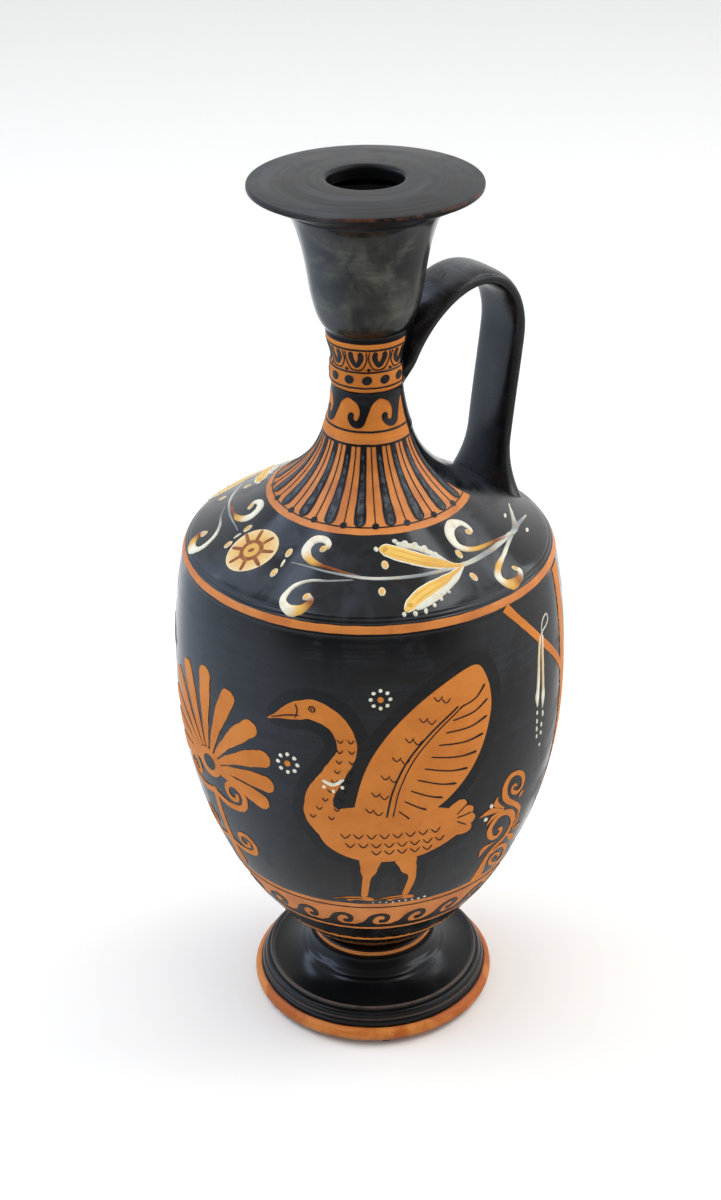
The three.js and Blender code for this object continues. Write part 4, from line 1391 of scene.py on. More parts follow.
def side_scroll(orange, cream_coat, wall, flip):
    """Tall scroll beside the handle, mirrored for the far side"""
    azimuth = beside(settings().ornament.side_azimuth, flip)
    chart = wall_chart(wall, azimuth, wall.arc(above("body", 55.9)), flip)
    trunk = [(-3.2, -0.6), (-2.8, 4.6), (-2.6, 11.4), (-1.8, 16.9), (0.9, 20.2), (4.6, 21.6),
             (7.2, 25.0), (8.2, 30.2), (6.0, 35.4), (2.2, 38.9), (-1.8, 39.8), (-4.8, 38.0),
             (-6.4, 34.3), (-5.2, 29.8), (-2.4, 27.0), (0.6, 27.4), (0.8, 30.4), (-1.6, 31.8)]
    widths = [8.0, 5.0, 3.2, 2.0, 1.6, 1.8, 2.4, 2.8, 3.0, 2.8, 2.6, 2.6, 2.6, 2.4, 2.2, 2.0, 1.8, 1.4]
    orange.stroke(chart, trunk, widths)
    crest = [(9.6, 29.0), (11.2, 32.6), (10.6, 36.0), (6.8, 40.4), (1.9, 44.6), (-1.2, 48.4),
             (-2.3, 52.4), (-1.8, 56.0), (0.6, 58.4), (4.4, 58.0), (8.0, 55.0), (9.3, 51.4),
             (8.6, 48.3), (6.2, 47.2), (3.4, 48.6), (2.2, 51.0), (3.6, 52.4), (5.2, 51.0)]
    widths = [0.8, 1.4, 2.0, 2.2, 2.4, 2.8, 2.8, 2.6, 2.4, 2.2, 2.0, 1.9, 1.8, 1.8, 1.7, 1.5, 1.3, 1.0]
    orange.stroke(chart, crest, widths)
    curl = [(-2.2, 15.6), (1.2, 17.2), (5.2, 17.6), (9.4, 14.4), (11.8, 9.8), (11.0, 5.8), (7.6, 4.4),
            (3.4, 7.1), (1.2, 11.0), (2.8, 13.4), (5.8, 12.2), (7.8, 8.8), (6.2, 8.2)]
    widths = [1.4, 1.8, 2.0, 2.2, 2.2, 2.0, 2.0, 1.8, 1.8, 1.6, 1.5, 1.3, 1.0]
    orange.stroke(chart, curl, widths)
    leaves = (((10.6, 46.2), (9.3, 44.6), (8.0, 43.0), 2.0),
              ((-5.9, 51.2), (-6.0, 47.4), (-0.5, 42.5), 2.4),
              ((-0.2, 41.6), (-8.5, 44.7), (-14.0, 43.9), 3.0),
              ((-0.4, 41.2), (-6.0, 40.8), (-9.2, 37.5), 2.2),
              ((9.8, 24.2), (11.3, 27.6), (13.1, 30.6), 1.5),
              ((10.6, 23.2), (14.2, 23.4), (17.6, 23.0), 1.6),
              ((6.9, 23.8), (11.5, 18.9), (16.4, 13.4), 3.2),
              ((-7.8, 18.4), (-6.5, 22.6), (-1.4, 24.0), 2.8))
    for root, middle, tip, wide in leaves:
        orange.stroke(chart, [root, middle, tip], [0.7, wide, 0.6])
    for x, y in ((-8.4, 47.4), (-10.1, 41.2)):
        cream_coat.dot(chart, x, y, 0.9, 1.2, 0.05, 0.3, 0.3, settings().finish.cream)


def side_bands(orange, cream_coat, wall, flip):
    """Slanting and upright bands with a hanging fillet, mirrored for the far side"""
    f = settings().finish
    o = settings().ornament
    cream = f.cream
    yellow = blended(cream, f.yellow, 0.5)
    white = blended(cream, f.grey, 0.2)
    top = wall.arc(bottom_of("shoulder"))
    chart = wall_chart(wall, beside(o.fillet_azimuth, flip), top, flip)
    slant = [(-17.9, 0.4), (-11.2, -7.7), (1.0, -21.1), (15.6, -35.8), (23.6, -45.8)]
    orange.stroke(chart, slant, [3.8, 3.1, 3.1, 3.0, 3.0], ends=False)
    drop = top - wall.arc(bottom_of("body") + o.band_high)
    upright = []
    for k in range(9):
        down = drop * k / 8
        upright.append((o.upright_turn * wall.section(top - down)[0] / MM, -down / MM))
    orange.stroke(chart, upright, o.upright_width / MM, ends=False)
    eye = [(2.1, -18.4), (2.9, -15.4), (5.0, -13.5), (7.4, -13.2), (8.3, -15.9), (6.3, -17.6),
           (2.8, -18.6), (1.7, -20.4)]
    cream_coat.stroke(chart, eye, [0.5, 0.6, 0.6, 0.6, 0.6, 0.6, 0.8, 1.2], 0.08, 0.25, [white] * 8)
    left = [(0.8, -19.1), (-0.8, -27.0), (-1.9, -39.0), (-2.7, -44.5), (-2.6, -49.2)]
    right = [(2.6, -19.7), (1.9, -28.0), (1.8, -40.9), (1.9, -46.0), (1.3, -51.6)]
    for strand, widths, middle in ((left, [1.2, 1.6, 1.9, 2.6, 0.6], cream),
                                   (right, [1.2, 1.5, 1.7, 2.4, 0.6], yellow)):
        cream_coat.stroke(chart, strand, widths, 0.1, 0.3, [cream, yellow, middle, cream, white])
    for x, y, tall in ((-2.6, -51.7, 1.0), (2.0, -54.3, 1.7), (-2.5, -55.7, 1.2), (1.3, -59.1, 1.3),
                       (-2.4, -59.2, 1.3), (1.3, -62.9, 1.1), (-2.0, -62.9, 1.1), (1.2, -68.5, 0.8)):
        cream_coat.dot(chart, x, y, 0.65, tall, 0.05, 0.1, 0.25, white)


def palmette(orange, black, chart, y, size, petals, spread):
    """Fan of petals over a heart"""
    spread = math.radians(spread)
    slim = size * spread * 2 / petals
    for k in range(petals):
        a = spread * (2 * k / (petals - 1) - 1)
        share = 1 - 0.30 * (abs(a) / spread) ** 1.5
        line = []
        for t in (0.20, 0.45, 0.75, 1.0):
            turn = a + 0.32 * math.sin(a) * (t - 0.2)
            line.append((size * share * t * math.sin(turn), y + size * share * t * math.cos(turn)))
        orange.stroke(chart, line, [slim * 0.18, slim * 0.34, slim * 0.58, slim * 0.62])
    orange.dot(chart, 0, y + size * 0.05, size * 0.17, size * 0.15, LINE_LIFT + 0.02)
    black.dot(chart, 0, y + size * 0.05, size * 0.09, size * 0.08, TOP_LIFT)


def volute_pair(orange, chart, y, size):
    """Two volutes that spring from one foot"""
    coil = spiral(size * 0.46, size * 0.10, -90, 1.35)
    widths = [size * 0.20] * 2 + [size * (0.20 - 0.09 * k / len(coil)) for k in range(len(coil))]
    for side in (-1, 1):
        line = [(0, y), (side * size * 0.5, y - size * 0.15)]
        line += [(side * (size * 0.9 + u), y + size * 0.35 + v) for u, v in coil]
        orange.stroke(chart, line, widths)


def feather(black, chart, x, y, left, middle, right):
    """Small bent feather mark"""
    mark = [(x + left[0], y + left[1]), (x, y + middle), (x + right[0], y + right[1])]
    black.stroke(chart, mark, 0.42, TOP_LIFT)


def water_bird(orange, black, cream_coat, halo, chart):
    """Long-necked water bird with a raised wing, in reserved clay with black lines and a contour stripe"""
    cream = settings().finish.cream
    body = [(-21, 45), (-17, 35), (-5, 28), (12, 27), (27, 31.5), (39, 40), (37, 47), (26, 53), (8, 57),
            (-8, 56), (-19, 52)]
    orange.fill(chart, loop(body))
    halo.stroke(chart, body + body[:1], 10, HALO_LIFT, ends=False)
    neck = [(-8, 42), (-18, 50), (-19.5, 60), (-14, 71), (-8.6, 82), (-11.6, 92.5), (-20, 98),
            (-27.5, 97), (-40, 91)]
    orange.stroke(chart, neck, [19, 14.5, 10.5, 8.6, 7.4, 7.2, 8.6, 7.4, 0.8], GROUND_LIFT + 0.03)
    halo.stroke(chart, neck, [27, 24, 20, 18, 17, 17, 18, 16, 9], HALO_LIFT + 0.01)
    tail = ((40.5, 36.5), (42.5, 42.5), (41.2, 48.4), (37.2, 53.6))
    for k, tip in enumerate(tail):
        middle = midway((30, 43), tip, 0.5)
        orange.stroke(chart, [(30, 43), middle, tip], [8, 8.4, 5.2], GROUND_LIFT + 0.015 * k)
    lead = [(-6, 49), (-5, 62), (0, 78), (10, 93), (24, 105), (40, 112)]
    trail = [(46, 106), (48.5, 95), (47, 84), (43, 73), (36.5, 63), (27, 54), (14, 47), (2, 44)]
    orange.fill(chart, loop(lead + trail), GROUND_LIFT + 0.05)
    halo.stroke(chart, lead + trail + lead[:1], 10, HALO_LIFT + 0.02, ends=False)
    wing_lines(black, chart)
    for hip, knee, toe in (((0, 31), (-2, 15), (-3, 3)), ((13, 30), (16, 15.5), (13, 3))):
        leg = [hip, ((hip[0] + knee[0]) / 2, 22), knee, toe]
        orange.stroke(chart, leg, [10, 6.5, 3.0, 2.6], GROUND_LIFT + 0.02)
        halo.stroke(chart, leg, [18, 15, 11, 9], HALO_LIFT + 0.03)
        x = toe[0]
        foot = [(x + 2.6, 2.6), (x - 5, 3.0), (x - 12.5, 0.4), (x - 7.5, 0.9), (x - 6, -0.4),
                (x - 3, 0.8), (x + 3.4, 0.2)]
        orange.fill(chart, loop(foot, 0.8), GROUND_LIFT + 0.04, spacing=1.5)
        black.stroke(chart, [(x - 0.5, 2.0), (x - 6, 1.6), (x - 11, 0.7)], 0.45, TOP_LIFT)
    black.dot(chart, -21.6, 98.6, 1.5, 1.3, TOP_LIFT)
    orange.dot(chart, -21.6, 98.6, 0.85, 0.75, TOP_LIFT + 0.06)
    black.dot(chart, -21.7, 98.6, 0.45, 0.45, TOP_LIFT + 0.12)
    black.stroke(chart, [(-38.5, 91.8), (-32, 94.2), (-26.6, 95.2)], [0.3, 0.5, 0.45], TOP_LIFT)
    black.stroke(chart, [(-28.2, 99.8), (-27.4, 97.0), (-28.4, 93.8)], 0.5, TOP_LIFT)
    for k in range(9):
        t = k / 8
        x = -18.6 + 9.0 * t + 3.4 * math.sin(3.0 * t)
        for side in (-1, 1):
            feather(black, chart, x + side * (3.6 - 1.6 * t), 50 + 36 * t, (-1.3, 1.0), -0.6, (1.3, 1.0))
    for row, (y, first, last) in enumerate(((36, -8, 28), (41, -12, 27), (32, 2, 22))):
        for k in range(int((last - first) / 5) + 1):
            feather(black, chart, first + 5 * k + 2.2 * (row % 2), y, (-2.0, 1.6), -0.8, (2.0, 1.6))
    for tip in tail[:3]:
        root = (34, 43 + (tip[1] - 43) * 0.3 + 2.2)
        black.stroke(chart, [root, (tip[0] - 2.0, tip[1] + 3.2)], 0.5, TOP_LIFT)
    cream_coat.stroke(chart, [(-18.4, 68.4), (-14.2, 66.6), (-9.8, 69.4)], [1.2, 1.6, 1.2], 0.30, 0.25,
                      [cream] * 3)
    for x, y in ((-17.6, 65.2), (-14.0, 63.6), (-10.6, 65.6)):
        cream_coat.dot(chart, x, y, 0.7, 0.9, 0.25, 0, 0.25, cream)


def wing_lines(black, chart):
    """Bars and long feathers of the raised wing"""
    for offset, width in ((0.0, 0.7), (2.4, 0.45)):
        bar = [(x + offset, y) for x, y in ((6, 51), (8.5, 64), (14, 77), (23, 88), (34, 97))]
        black.stroke(chart, bar, width, TOP_LIFT)
    ends = [(14.5, 49.5), (21.5, 53.0), (28.0, 57.5), (33.6, 62.8), (38.4, 68.6), (42.2, 75.0),
            (45.0, 82.0), (46.6, 89.2), (46.8, 96.4), (45.4, 103.0)]
    for k, (x, y) in enumerate(ends):
        t = k / (len(ends) - 1)
        root = (10.5 + 24.0 * t ** 1.1, 54 + 42 * t)
        middle = ((root[0] + x) / 2 + 1.4, (root[1] + y) / 2 - 1.2)
        black.stroke(chart, [root, middle, (x, y)], [0.5, 0.55, 0.9], TOP_LIFT)
    for k in range(7):
        t = k / 6
        for lane in (0.32, 0.68):
            x = -3.2 + 26.0 * t ** 1.35 + 9.0 * lane
            feather(black, chart, x, 56 + 47 * t - 4.0 * lane, (-1.8, 1.3), -0.9, (1.9, 0.9))


def ground_line(cream_coat, wall):
    """Row of small dots under the picture"""
    cream = settings().finish.cream
    chart = wall_chart(wall, FRONT, wall.arc(above("body", 57.6)))
    for k in range(9):
        size = 0.34 + 0.03 * k
        cream_coat.dot(chart, 2.6 * k, 0.3 * math.sin(1.7 * k), size, size, 0.05, 0, 0.2, cream)


def field_rosette(cream_coat, orange, chart, x, y, size):
    """Small dotted rosette that fills the field"""
    cream = settings().finish.cream
    orange.dot(chart, x, y, size * 0.34, size * 0.34)
    for k in range(8):
        a = math.tau * k / 8
        u = x + size * math.cos(a)
        v = y + size * math.sin(a)
        cream_coat.dot(chart, u, v, size * 0.22, size * 0.22, 0.06, 0, 0.3, cream)


# Operators

class VASE_OT_foot(bpy.types.Operator):
    """Turn the disc foot and its rolled ring"""
    bl_idname = "vase.foot"
    bl_label = "Foot"

    def execute(self, context):
        f = settings().foot
        low, high, radius = span("foot")
        roof = low + f.hollow_depth
        ring_outside = radius - f.rim_bulge
        ring_inside = ring_outside - f.ring_width
        rim_middle = low + f.rim_height / 2
        rim_top = low + f.rim_height
        rim_inside = radius - f.rim_tuck
        groove = 0.35 * MM
        step = rim_top + f.step_rise
        step_radius = rim_inside - f.step_depth
        bead = step + f.bead_rise
        bead_radius = step_radius - f.bead_depth
        crown = f.ridge_radius
        ridge = low + f.ridge_height
        dish = ridge - f.ridge_drop
        dish_edge = crown - f.ridge_width
        seat = f.seat_radius
        rim = [(radius, rim_middle), (radius, rim_top - 0.1 * f.rim_tuck), (rim_inside, rim_top)]
        flare = [(dish_edge, dish), ((dish_edge + seat) / 2, dish), (seat, (dish + high) / 2),
                 (seat, high)]
        profile = joined(
            [(0, roof)],
            bezier([(f.hollow_radius, roof), (ring_inside, roof), (ring_inside, low)], 14),
            bezier([(ring_outside, low), (radius, low), (radius, rim_middle)], 18),
            even(bezier(rim, 18), 0.4 * MM),
            bezier([(rim_inside, rim_top), (rim_inside, step), (step_radius, step)], 14),
            bezier([(step_radius - groove, step), (step_radius, bead), (bead_radius, bead)], 14),
            bezier([(bead_radius - groove, bead), (crown + groove, ridge), (crown, ridge)], 8),
            bezier([(crown, ridge), (crown - f.ridge_width * 0.5, ridge), (dish_edge, dish)], 6),
            self.rings_in(bezier(flare, 90)),
            [(0, high)],
        )
        edge = low + f.clay_edge

        def clay(azimuth, distance, height):
            return clamp((edge - height) / MM if distance > seat else -FAR)

        # Painted shade: below the rim's middle the foot's rim greys and darkens towards the floor; on the
        # ridge and the bead it marks rubbed edges
        def wear_and_painted_shade(azimuth, distance, height):
            if height < rim_top:
                return 0.6 * unit((rim_middle - height) / (2 * MM))
            top = hump(distance - crown, 0.5 * MM) * hump(height - ridge, MM)
            return 0.8 * top + 0.35 * hump(height - step, 0.3 * MM)

        marks = {"clay": clay, "wear_and_painted_shade": wear_and_painted_shade}
        throw("foot_disc", profile, 224, False, marks, slip("foot_black"), "black_gloss", "foot")
        return self.ring()

    def rings_in(self, dish):
        """Two fine rings turned into the dish"""
        f = settings().foot
        marked = []
        for radius, height in dish:
            out = radius - f.seat_radius
            rise = hump(out - f.ring_gap, f.fine_ring) + hump(out - 2 * f.ring_gap, f.fine_ring)
            marked.append((radius, height + 0.2 * f.fine_ring * rise))
        return marked

    def ring(self):
        b = settings().body
        low, high, radius = span("stem_ring")
        middle = (low + high) / 2
        gap = 0.3 * MM
        profile = joined(
            bezier([(settings().foot.seat_radius - gap, low), (radius, low), (radius, middle)], 10),
            bezier([(radius, middle), (radius, high), (b.stem_radius + gap, high)], 14),
            [(b.stem_radius - gap, high), (b.stem_radius - gap, low)],
        )
        # Painted highlight: the orange line along the ring's upper edge stands for where the ring catches
        # the light; the warm brown-black round it is partly painted shade
        line = low + 0.62 * (high - low)

        def clay(azimuth, distance, height):
            return clamp(0.75 - abs(height - line) / MM) if distance > b.stem_radius + gap else -FAR

        throw("rolled_ring", profile, 160, True, {"clay": clay}, slip("ring_brown"), "orange_clay",
              "stem_ring", "foot_slip_seam")
        return {"FINISHED"}


class VASE_OT_body(bpy.types.Operator):
    """Throw the body with its banded lower part"""
    bl_idname = "vase.body"
    bl_label = "Body"

    def execute(self, context):
        b = settings().body
        outline = body_outline()
        floor = bottom_of("body") + b.floor
        hidden = [p for p in behind(outline, b.wall, 14) if p[1] > floor + 2 * MM]
        profile = joined(
            [(0, outline[0][1])],
            even(outline, 0.75 * MM),
            [(outline[-1][0] - b.wall, outline[-1][1])],
            hidden[1:],
            [(b.stem_radius - b.wall, floor), (0, floor)],
        )
        marks = {"clay": clay_on_body, "rub_and_painted_light": painted_sheen_on_wall}
        throw("bowl_wall", profile, 216, False, marks, slip("belly_black"), "black_gloss",
              "body", "shoulder_slip_seam")
        return {"FINISHED"}


class VASE_OT_shoulder(bpy.types.Operator):
    """Throw the sloping shoulder with its collar and stripe"""
    bl_idname = "vase.shoulder"
    bl_label = "Shoulder"

    def execute(self, context):
        s = settings().shoulder
        bore = settings().neck.bore / 2
        outline = shoulder_outline()
        low = outline[0][1]
        hidden = [p for p in behind(outline, s.wall, 12) if p[0] > bore and p[1] > low + 2 * MM]
        end = [(outline[0][0] - settings().body.wall, low)]
        profile = joined(even(outline, 0.6 * MM), [(bore, outline[-1][1])], hidden[1:], end)
        marks = {"clay": clay_on_shoulder, "rub_and_painted_light": painted_sheen_on_wall}
        throw("shoulder_wall", profile, 240, True, marks, slip("belly_black"), "black_gloss",
              "shoulder", "neck_slip_seam")
        return {"FINISHED"}


class VASE_OT_neck(bpy.types.Operator):
    """Throw the waisted neck with its ring"""
    bl_idname = "vase.neck"
    bl_label = "Neck"

    def execute(self, context):
        bore = settings().neck.bore / 2
        outline = neck_outline()
        profile = joined(even(outline, 0.6 * MM), [(bore, outline[-1][1]), (bore, outline[0][1])])
        # Above this height the neck is black, as painted shade in the crease under the cup
        limit = top_of("neck") - settings().ornament.neck_top

        def clay(azimuth, radius, height):
            if radius < bore + MM:
                return -FAR
            return clamp(min(from_back(azimuth, radius), (limit - height) / MM))

        finish = material("neck_clay", clay_look, black_back=True)
        throw("neck_tube", profile, 160, True, {"clay": clay}, finish, "orange_clay",
              "neck", "mouth_slip_seam")
        return {"FINISHED"}


class VASE_OT_mouth(bpy.types.Operator):
    """Throw the mouth cup and the pierced rim"""
    bl_idname = "vase.mouth"
    bl_label = "Mouth"

    def execute(self, context):
        m = settings().mouth
        bore = settings().neck.bore / 2
        outline = cup_outline()
        low = outline[0][1]
        top = outline[-1][1]
        floor = top - m.cup_wall
        hidden = [p for p in behind(outline, m.cup_wall, 8) if p[0] > bore and low < p[1] < floor]
        mouth = outline[-1][0] - m.cup_wall
        profile = joined(even(outline, 0.9 * MM), [(mouth, top)], hidden, [(bore, low)])

        # Painted light on the cup: the lustre fades out towards the cup's foot and under the rim as
        # painted shade, and a painted dark reflection lies at one azimuth
        def rub_and_painted_light(azimuth, distance, height):
            share = (height - low) / (top - low)
            ends = unit(min((share - 0.03) / 0.18, (0.99 - share) / 0.16))
            mark = hump(azimuth - m.dark_reflection_azimuth, m.dark_reflection_width) * hump(share - m.dark_reflection_height, 0.13)
            return ends * (1 - 0.9 * mark)

        throw("calyx_cup", profile, 176, True, {"rub_and_painted_light": rub_and_painted_light}, slip("mouth_black"), "black_gloss",
              "mouth_cup", "rim_slip_seam")
        return self.rim(outline[-1], mouth)

    def rim(self, start, mouth):
        m = settings().mouth
        low, top, radius = span("rim_disc")
        outer = radius - m.lip_round
        hole = m.hole_radius
        inner = hole + m.hole_round
        lip_top = top - m.dome_rise
        lip_low = lip_top - m.lip_thickness
        lip_middle = (lip_top + lip_low) / 2
        disc_low = top - m.disc_thickness
        profile = joined(
            [start],
            bezier([
                (start[0], low),
                (start[0] + m.under_pull_out, low + m.under_pull_up),
                (radius - m.edge_pull_in, lip_low - m.edge_pull_down),
                (outer, lip_low),
            ], 30),
            bezier([(outer, lip_low), (radius, lip_low), (radius, lip_middle)], 8),
            bezier([(radius, lip_middle), (radius, lip_top), (outer, lip_top)], 8),
            bezier([(outer, lip_top), ((radius + hole) / 2, top), (inner, top)], 30),
            bezier([(inner, top), (hole, top), (hole, top - m.hole_round)], 10),
            bezier([(hole, disc_low), (mouth, disc_low), (mouth, start[1])], 10),
        )

        def lip_wear(azimuth, distance, height):
            edge = hump(radius - distance, 0.5 * MM)
            front = 0.5 + 0.5 * math.cos(azimuth + HANDLE_AZIMUTH - m.wear_azimuth)
            return edge * (0.04 + 0.45 * front ** 3) if height > lip_middle else 0.0

        # Painted sheen on the rim's top only; inside the hole it is left out, so the hole's wall stays
        # dark as painted shade
        def painted_sheen_on_top(azimuth, distance, height):
            return 1.0 if distance > hole + m.hole_round / 2 else 0.08

        marks = {"wear_and_painted_shade": lip_wear, "rub_and_painted_light": painted_sheen_on_top}
        throw("pierced_rim", profile, 224, True, marks, slip("rim_black"), "black_gloss", "rim_disc")
        return {"FINISHED"}


class VASE_OT_handle(bpy.types.Operator):
    """Pull the strap handle and lute it to neck and shoulder"""
    bl_idname = "vase.handle"
    bl_label = "Handle"

    def line(self):
        h = settings().handle
        n = settings().neck
        neck_top = top_of("neck")
        start = Vector((n.bore / 2, neck_top - h.neck_drop))
        crest = Vector((n.waist_radius + h.crest_out, neck_top + h.crest_rise))
        bend = Vector((n.waist_radius + h.reach, crest.y - h.bend_drop))
        landing = Vector((h.landing_radius, bottom_of("shoulder") + settings().shoulder.edge_rise))
        up = Vector((0, h.neck_pull))
        leg = (landing - bend).normalized()
        return joined(
            bezier([start, start + up, crest - Vector((h.crest_pull_in, 0)), crest], 50),
            bezier([crest, crest + Vector((h.crest_pull_out, 0)), bend - leg * h.bend_pull, bend], 44),
            bezier([bend, bend + leg * h.bend_pull, landing + Vector((0, h.landing_pull)), landing], 56),
        )

    def execute(self, context):
        h = settings().handle
        line = self.line()
        sides = 72
        gone = lengths(line)
        points = []
        faces = []
        wear_and_painted_shade = []
        rub_and_painted_light = []
        for i, spot in enumerate(line):
            along = heading(line, i)
            to_root = max(0.0, 1 - (gone[-1] - gone[i]) / h.root_length) ** 2
            from_start = ease(min(1.0, gone[i] / h.start_length))
            wide = h.start_width + (h.width - h.start_width) * from_start
            wide = (wide + (h.root_width - wide) * to_root) / 2
            thick = (h.thickness + (h.root_thickness - h.thickness) * to_root) / 2
            for k in range(sides):
                turn = math.tau * k / sides
                c = math.cos(turn)
                s = math.sin(turn)
                across = math.copysign(abs(c) ** (2 / h.squareness), c)
                through = math.copysign(abs(s) ** (2 / h.squareness), s)
                shift = through * thick
                points.append((spot[0] - along.y * shift, across * wide, spot[1] + along.x * shift))
                wear_and_painted_shade.append(0.08 * min(abs(across), abs(through)) ** 2)
                # Painted highlight: the pale crest colour shows on the strap's upward-facing side and
                # fades out towards the root, which stays dark as painted shade
                rub_and_painted_light.append(0.12 + 0.88 * max(0.0, along.x * through) ** 2 * max(0.0, 1 - 2 * to_root))
        rows = len(line)
        for i in range(rows - 1):
            for k in range(sides):
                n = (k + 1) % sides
                faces.append((i * sides + k, i * sides + n, (i + 1) * sides + n, (i + 1) * sides + k))
        faces.append(list(range(sides))[::-1])
        faces.append(list(range((rows - 1) * sides, rows * sides)))
        mesh = bpy.data.meshes.new("strap_handle")
        mesh.from_pydata(points, [], faces)
        store(mesh, "wear_and_painted_shade", wear_and_painted_shade)
        store(mesh, "rub_and_painted_light", rub_and_painted_light)
        mesh.shade_smooth()
        mesh.set_sharp_from_angle(angle=HANDLE_SHARP)
        nodes = ["handle", "handle_upper_slip", "handle_lower_slip"]
        link_piece("strap_handle", mesh, slip("handle_black"), nodes)
        return {"FINISHED"}


class VASE_OT_pads(bpy.types.Operator):
    """Give the pads under the foot their rubber"""
    bl_idname = "vase.pads"
    bl_label = "Pads"

    def execute(self, context):
        rubber = material("pad_rubber", rubber_look)
        for name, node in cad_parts.items():
            if name.startswith("foot_pad"):
                node.data.materials.clear()
                node.data.materials.append(rubber)
        return {"FINISHED"}


class VASE_OT_neck_paint(bpy.types.Operator):
    """Paint eggs, dots, hooks and tongues on neck and collar"""
    bl_idname = "vase.neck_paint"
    bl_label = "Neck and collar paint"

    def execute(self, context):
        wall = Wall()
        black = material("brush_black", brush_look)
        coat = Coat()
        egg_and_dots(coat, wall)
        coat.piece("neck_paint", black, "black_gloss")
        coat = Coat()
        sheen = Coat()
        collar_tongues(coat, sheen, wall)
        coat.piece("collar_paint", black, "black_gloss")
        sheen.piece("collar_sheen", material("painted_tongue_sheen", sheen_look), "black_gloss")
        return {"FINISHED"}


class VASE_OT_shoulder_paint(bpy.types.Operator):
    """Paint the rosette and the two scrolls on the shoulder"""
    bl_idname = "vase.shoulder_paint"
    bl_label = "Shoulder paint"

    def execute(self, context):
        wall = Wall()
        coat = Coat()
        shoulder_scroll(coat, plan_chart(wall))
        shoulder_scroll(coat, plan_chart(wall, settings().ornament.scroll_mirror))
        rosette(coat, wall)
        paint = material("thick_paint", paint_look)
        coat.piece("shoulder_scrolls", paint, "cream_paint", shaped=True)
        return {"FINISHED"}


class VASE_OT_belly_paint(bpy.types.Operator):
    """Paint the birds, palmettes, side scrolls and waves on the body"""
    bl_idname = "vase.belly_paint"
    bl_label = "Belly paint"

    def execute(self, context):
        o = settings().ornament
        wall = Wall()
        orange = Coat()
        black = Coat()
        cream_coat = Coat()
        halo = Coat()
        ground = wall.arc(bottom_of("body") + o.ground_height)
        right_field = wall_chart(wall, o.picture_azimuth + o.bird_spread, ground)
        left_field = wall_chart(wall, o.picture_azimuth - o.bird_spread, ground, -1)
        for field in (right_field, left_field):
            water_bird(orange, black, cream_coat, halo, field)
        halo.piece("contour_stripes", slip("contour_black"), "black_gloss")
        centre = wall_chart(wall, o.picture_azimuth, ground)
        orange.stroke(centre, [(0, 0), (0, 20), (0, 44)], [6.5, 3.6, 3.2])
        volute_pair(orange, centre, 42, 15)
        volute_pair(orange, centre, 16, 13)
        palmette(orange, black, centre, 54, 46, 11, 84)
        back = wall_chart(wall, HANDLE_AZIMUTH, ground)
        orange.stroke(back, [(0, 0), (0, 14), (0, 34)], [7, 4, 3.4])
        volute_pair(orange, back, 32, 19)
        palmette(orange, black, back, 46, 58, 13, 90)
        for flip in (1, -1):
            side_scroll(orange, cream_coat, wall, flip)
            side_bands(orange, cream_coat, wall, flip)
        field_rosette(cream_coat, orange, right_field, -32, 73, 4.0)
        field_rosette(cream_coat, orange, right_field, 4, 104, 3.6)
        ground_line(cream_coat, wall)
        orange.ring(wall, wall.arc(bottom_of("body") + o.line_height), 1.2 * o.line_width / MM)
        orange.piece("reserved_figures", material("reserved_clay", clay_look), "orange_clay")
        wave_band(black, wall)
        black.piece("figure_lines", material("brush_black", brush_look), "black_gloss")
        paint = material("thick_paint", paint_look)
        cream_coat.piece("belly_highlights", paint, "cream_paint", shaped=True)
        return {"FINISHED"}


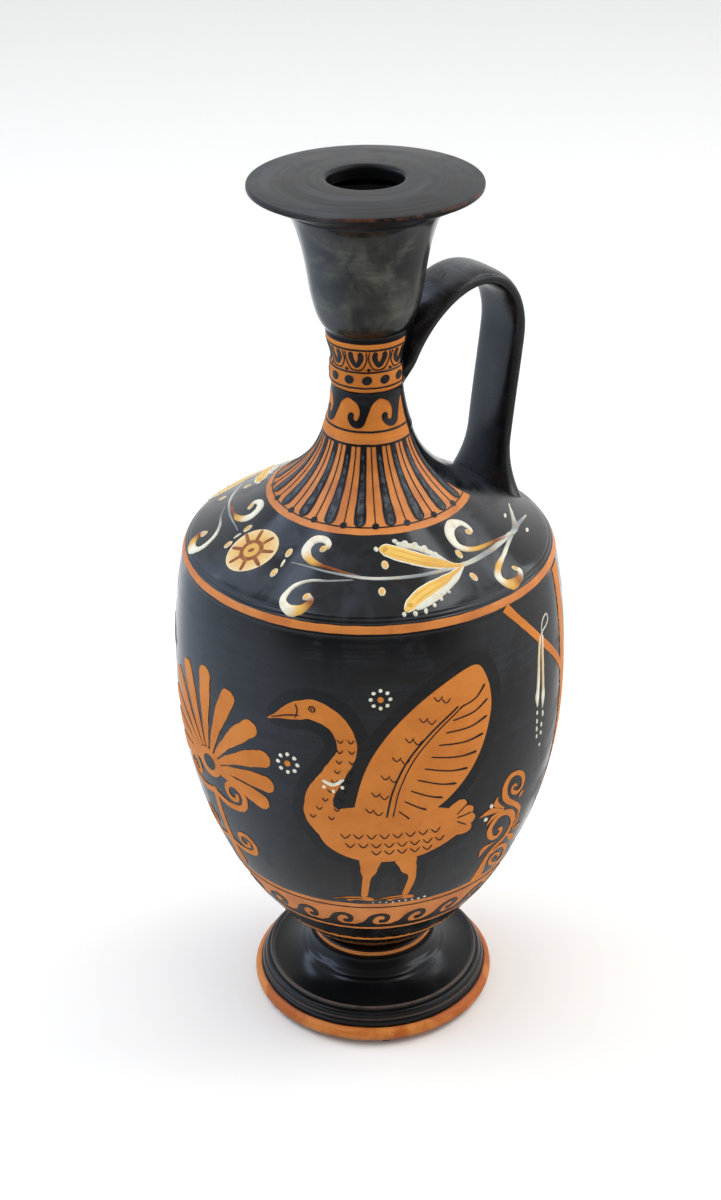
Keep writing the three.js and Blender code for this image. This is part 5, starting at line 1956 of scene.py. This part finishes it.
class VASE_OT_stage(bpy.types.Operator):
    """Set up floor, soft light and camera"""
    bl_idname = "vase.stage"
    bl_label = "Stage"

    def execute(self, context):
        s = settings().stage
        scene = context.scene
        scene.view_settings.view_transform = "Standard"
        half = s.floor_size / 2
        corners = [(x * half, y * half, 0) for x, y in ((-1, -1), (1, -1), (1, 1), (-1, 1))]
        mesh = bpy.data.meshes.new("pale_floor")
        mesh.from_pydata(corners, [], [(0, 1, 2, 3)])
        mesh.materials.append(material("pale_paper", paper_look))
        floor = bpy.data.objects.new("pale_floor", mesh)
        scene.collection.objects.link(floor)
        floor.visible_glossy = False
        self.room(scene)
        rise = s.box_rise
        warm = (1.0, 0.97, 0.93)
        boxes = (
            ("left_box", 172, rise, s.box_size, s.box_distance, s.key, (0.85, 0.92, 1.0)),
            ("right_box", 8, rise, s.box_size, s.box_distance, s.key, (1.0, 0.98, 0.96)),
            ("fill_box", -90, rise, s.fill_size, s.fill_size, s.fill, warm),
            ("overhead_box", 0, math.radians(89), s.overhead_size, s.overhead_size, s.overhead, warm),
        )
        for box in boxes:
            self.soft_box(*box).visible_glossy = False
        cards = (
            ("left_card", 172, rise, s.card_size, s.box_distance, s.card, (0.60, 0.74, 1.0)),
            ("right_card", 8, rise, s.card_size, s.box_distance, s.card, (0.92, 0.96, 1.0)),
        )
        for card in cards:
            self.soft_box(*card).visible_diffuse = False
        lens = bpy.data.cameras.new("photo_camera")
        lens.lens = s.lens
        camera = bpy.data.objects.new("photo_camera", lens)
        scene.collection.objects.link(camera)
        turn = Matrix.Rotation(-HANDLE_AZIMUTH, 4, "Z") @ Matrix.Rotation(s.pitch, 4, "X")
        turn = turn @ Matrix.Rotation(s.roll, 4, "Z")
        camera.matrix_world = Matrix.Translation(s.camera_place) @ turn
        scene.camera = camera
        return {"FINISHED"}

    def room(self, scene):
        """White room, dark on the camera's side"""
        s = settings().stage
        world = bpy.data.worlds.new("white_room")
        world.use_nodes = True
        nodes = Nodes(world.node_tree)
        looking = nodes.add("ShaderNodeTexCoord").outputs["Generated"]
        side = FRONT - HANDLE_AZIMUTH
        camera_side = (math.cos(side), math.sin(side), 0)
        towards = nodes.dot(looking, camera_side)
        up = nodes.add("ShaderNodeSeparateXYZ", {0: looking}).outputs[2]
        strength = nodes.remap(towards, 0.30, 0.80, s.sky, s.sky * s.dark)
        strength = nodes.times(strength, nodes.remap(up, 0.3, 0.8, 1.0, s.ceiling))
        right = (-camera_side[1], camera_side[0], 0)
        aside = nodes.dot(looking, right)
        mirrored = nodes.remap(aside, -0.9, -0.3, s.sky * s.below_left, s.sky * s.below)
        mirrored = nodes.blend(nodes.remap(towards, -0.85, -0.55), s.sky * s.below_far, mirrored)
        strength = nodes.blend(nodes.remap(up, -0.45, -0.05), mirrored, strength)
        tint = nodes.mix(nodes.remap(aside, -0.9, -0.1), opaque(s.cool), (1, 1, 1, 1))
        light = nodes.add("ShaderNodeBackground", {"Color": tint, "Strength": strength})
        nodes.add("ShaderNodeOutputWorld", {0: light.outputs[0]})
        scene.world = world

    def soft_box(self, name, degrees, rise, size, distance, power, tint):
        light = bpy.data.lights.new(name, "AREA")
        light.shape = "SQUARE"
        light.size = size
        light.energy = power
        light.color = tint
        lamp = bpy.data.objects.new(name, light)
        bpy.context.scene.collection.objects.link(lamp)
        turn = math.radians(degrees) - HANDLE_AZIMUTH
        flat = distance * math.cos(rise)
        aim = Vector((0, 0, settings().stage.aim_height))
        away = Vector((flat * math.cos(turn), flat * math.sin(turn), distance * math.sin(rise)))
        lamp.location = aim + away
        lamp.rotation_euler = (aim - lamp.location).to_track_quat("-Z", "Y").to_euler()
        return lamp


OPERATORS = (
    VASE_OT_foot, VASE_OT_body, VASE_OT_shoulder, VASE_OT_neck, VASE_OT_mouth, VASE_OT_handle,
    VASE_OT_pads, VASE_OT_neck_paint, VASE_OT_shoulder_paint, VASE_OT_belly_paint, VASE_OT_stage,
)


class VASE_PT_sidebar(bpy.types.Panel):
    """Buttons for the vase's pieces"""
    bl_idname = "VASE_PT_sidebar"
    bl_label = "Vase"
    bl_space_type = "VIEW_3D"
    bl_region_type = "UI"
    bl_category = "Vase"

    def draw(self, context):
        for operator in OPERATORS:
            self.layout.operator(operator.bl_idname)


CLASSES = (
    FootSizes, BodySizes, ShoulderSizes, NeckSizes, MouthSizes, HandleSizes, OrnamentSizes,
    FinishColours, StageSizes, VaseSettings, *OPERATORS, VASE_PT_sidebar,
)


def register():
    for cls in CLASSES:
        bpy.utils.register_class(cls)
    bpy.types.Scene.vase = PointerProperty(type=VaseSettings)


def unregister():
    del bpy.types.Scene.vase
    for cls in reversed(CLASSES):
        bpy.utils.unregister_class(cls)


def main():
    register()
    make_effects()
    bpy.ops.vase.foot()
    bpy.ops.vase.body()
    bpy.ops.vase.shoulder()
    bpy.ops.vase.neck()
    bpy.ops.vase.mouth()
    bpy.ops.vase.handle()
    bpy.ops.vase.pads()
    bpy.ops.vase.neck_paint()
    bpy.ops.vase.shoulder_paint()
    bpy.ops.vase.belly_paint()
    bpy.ops.vase.stage()
    bpy.context.view_layer.update()


if __name__ == "__main__":
    main()
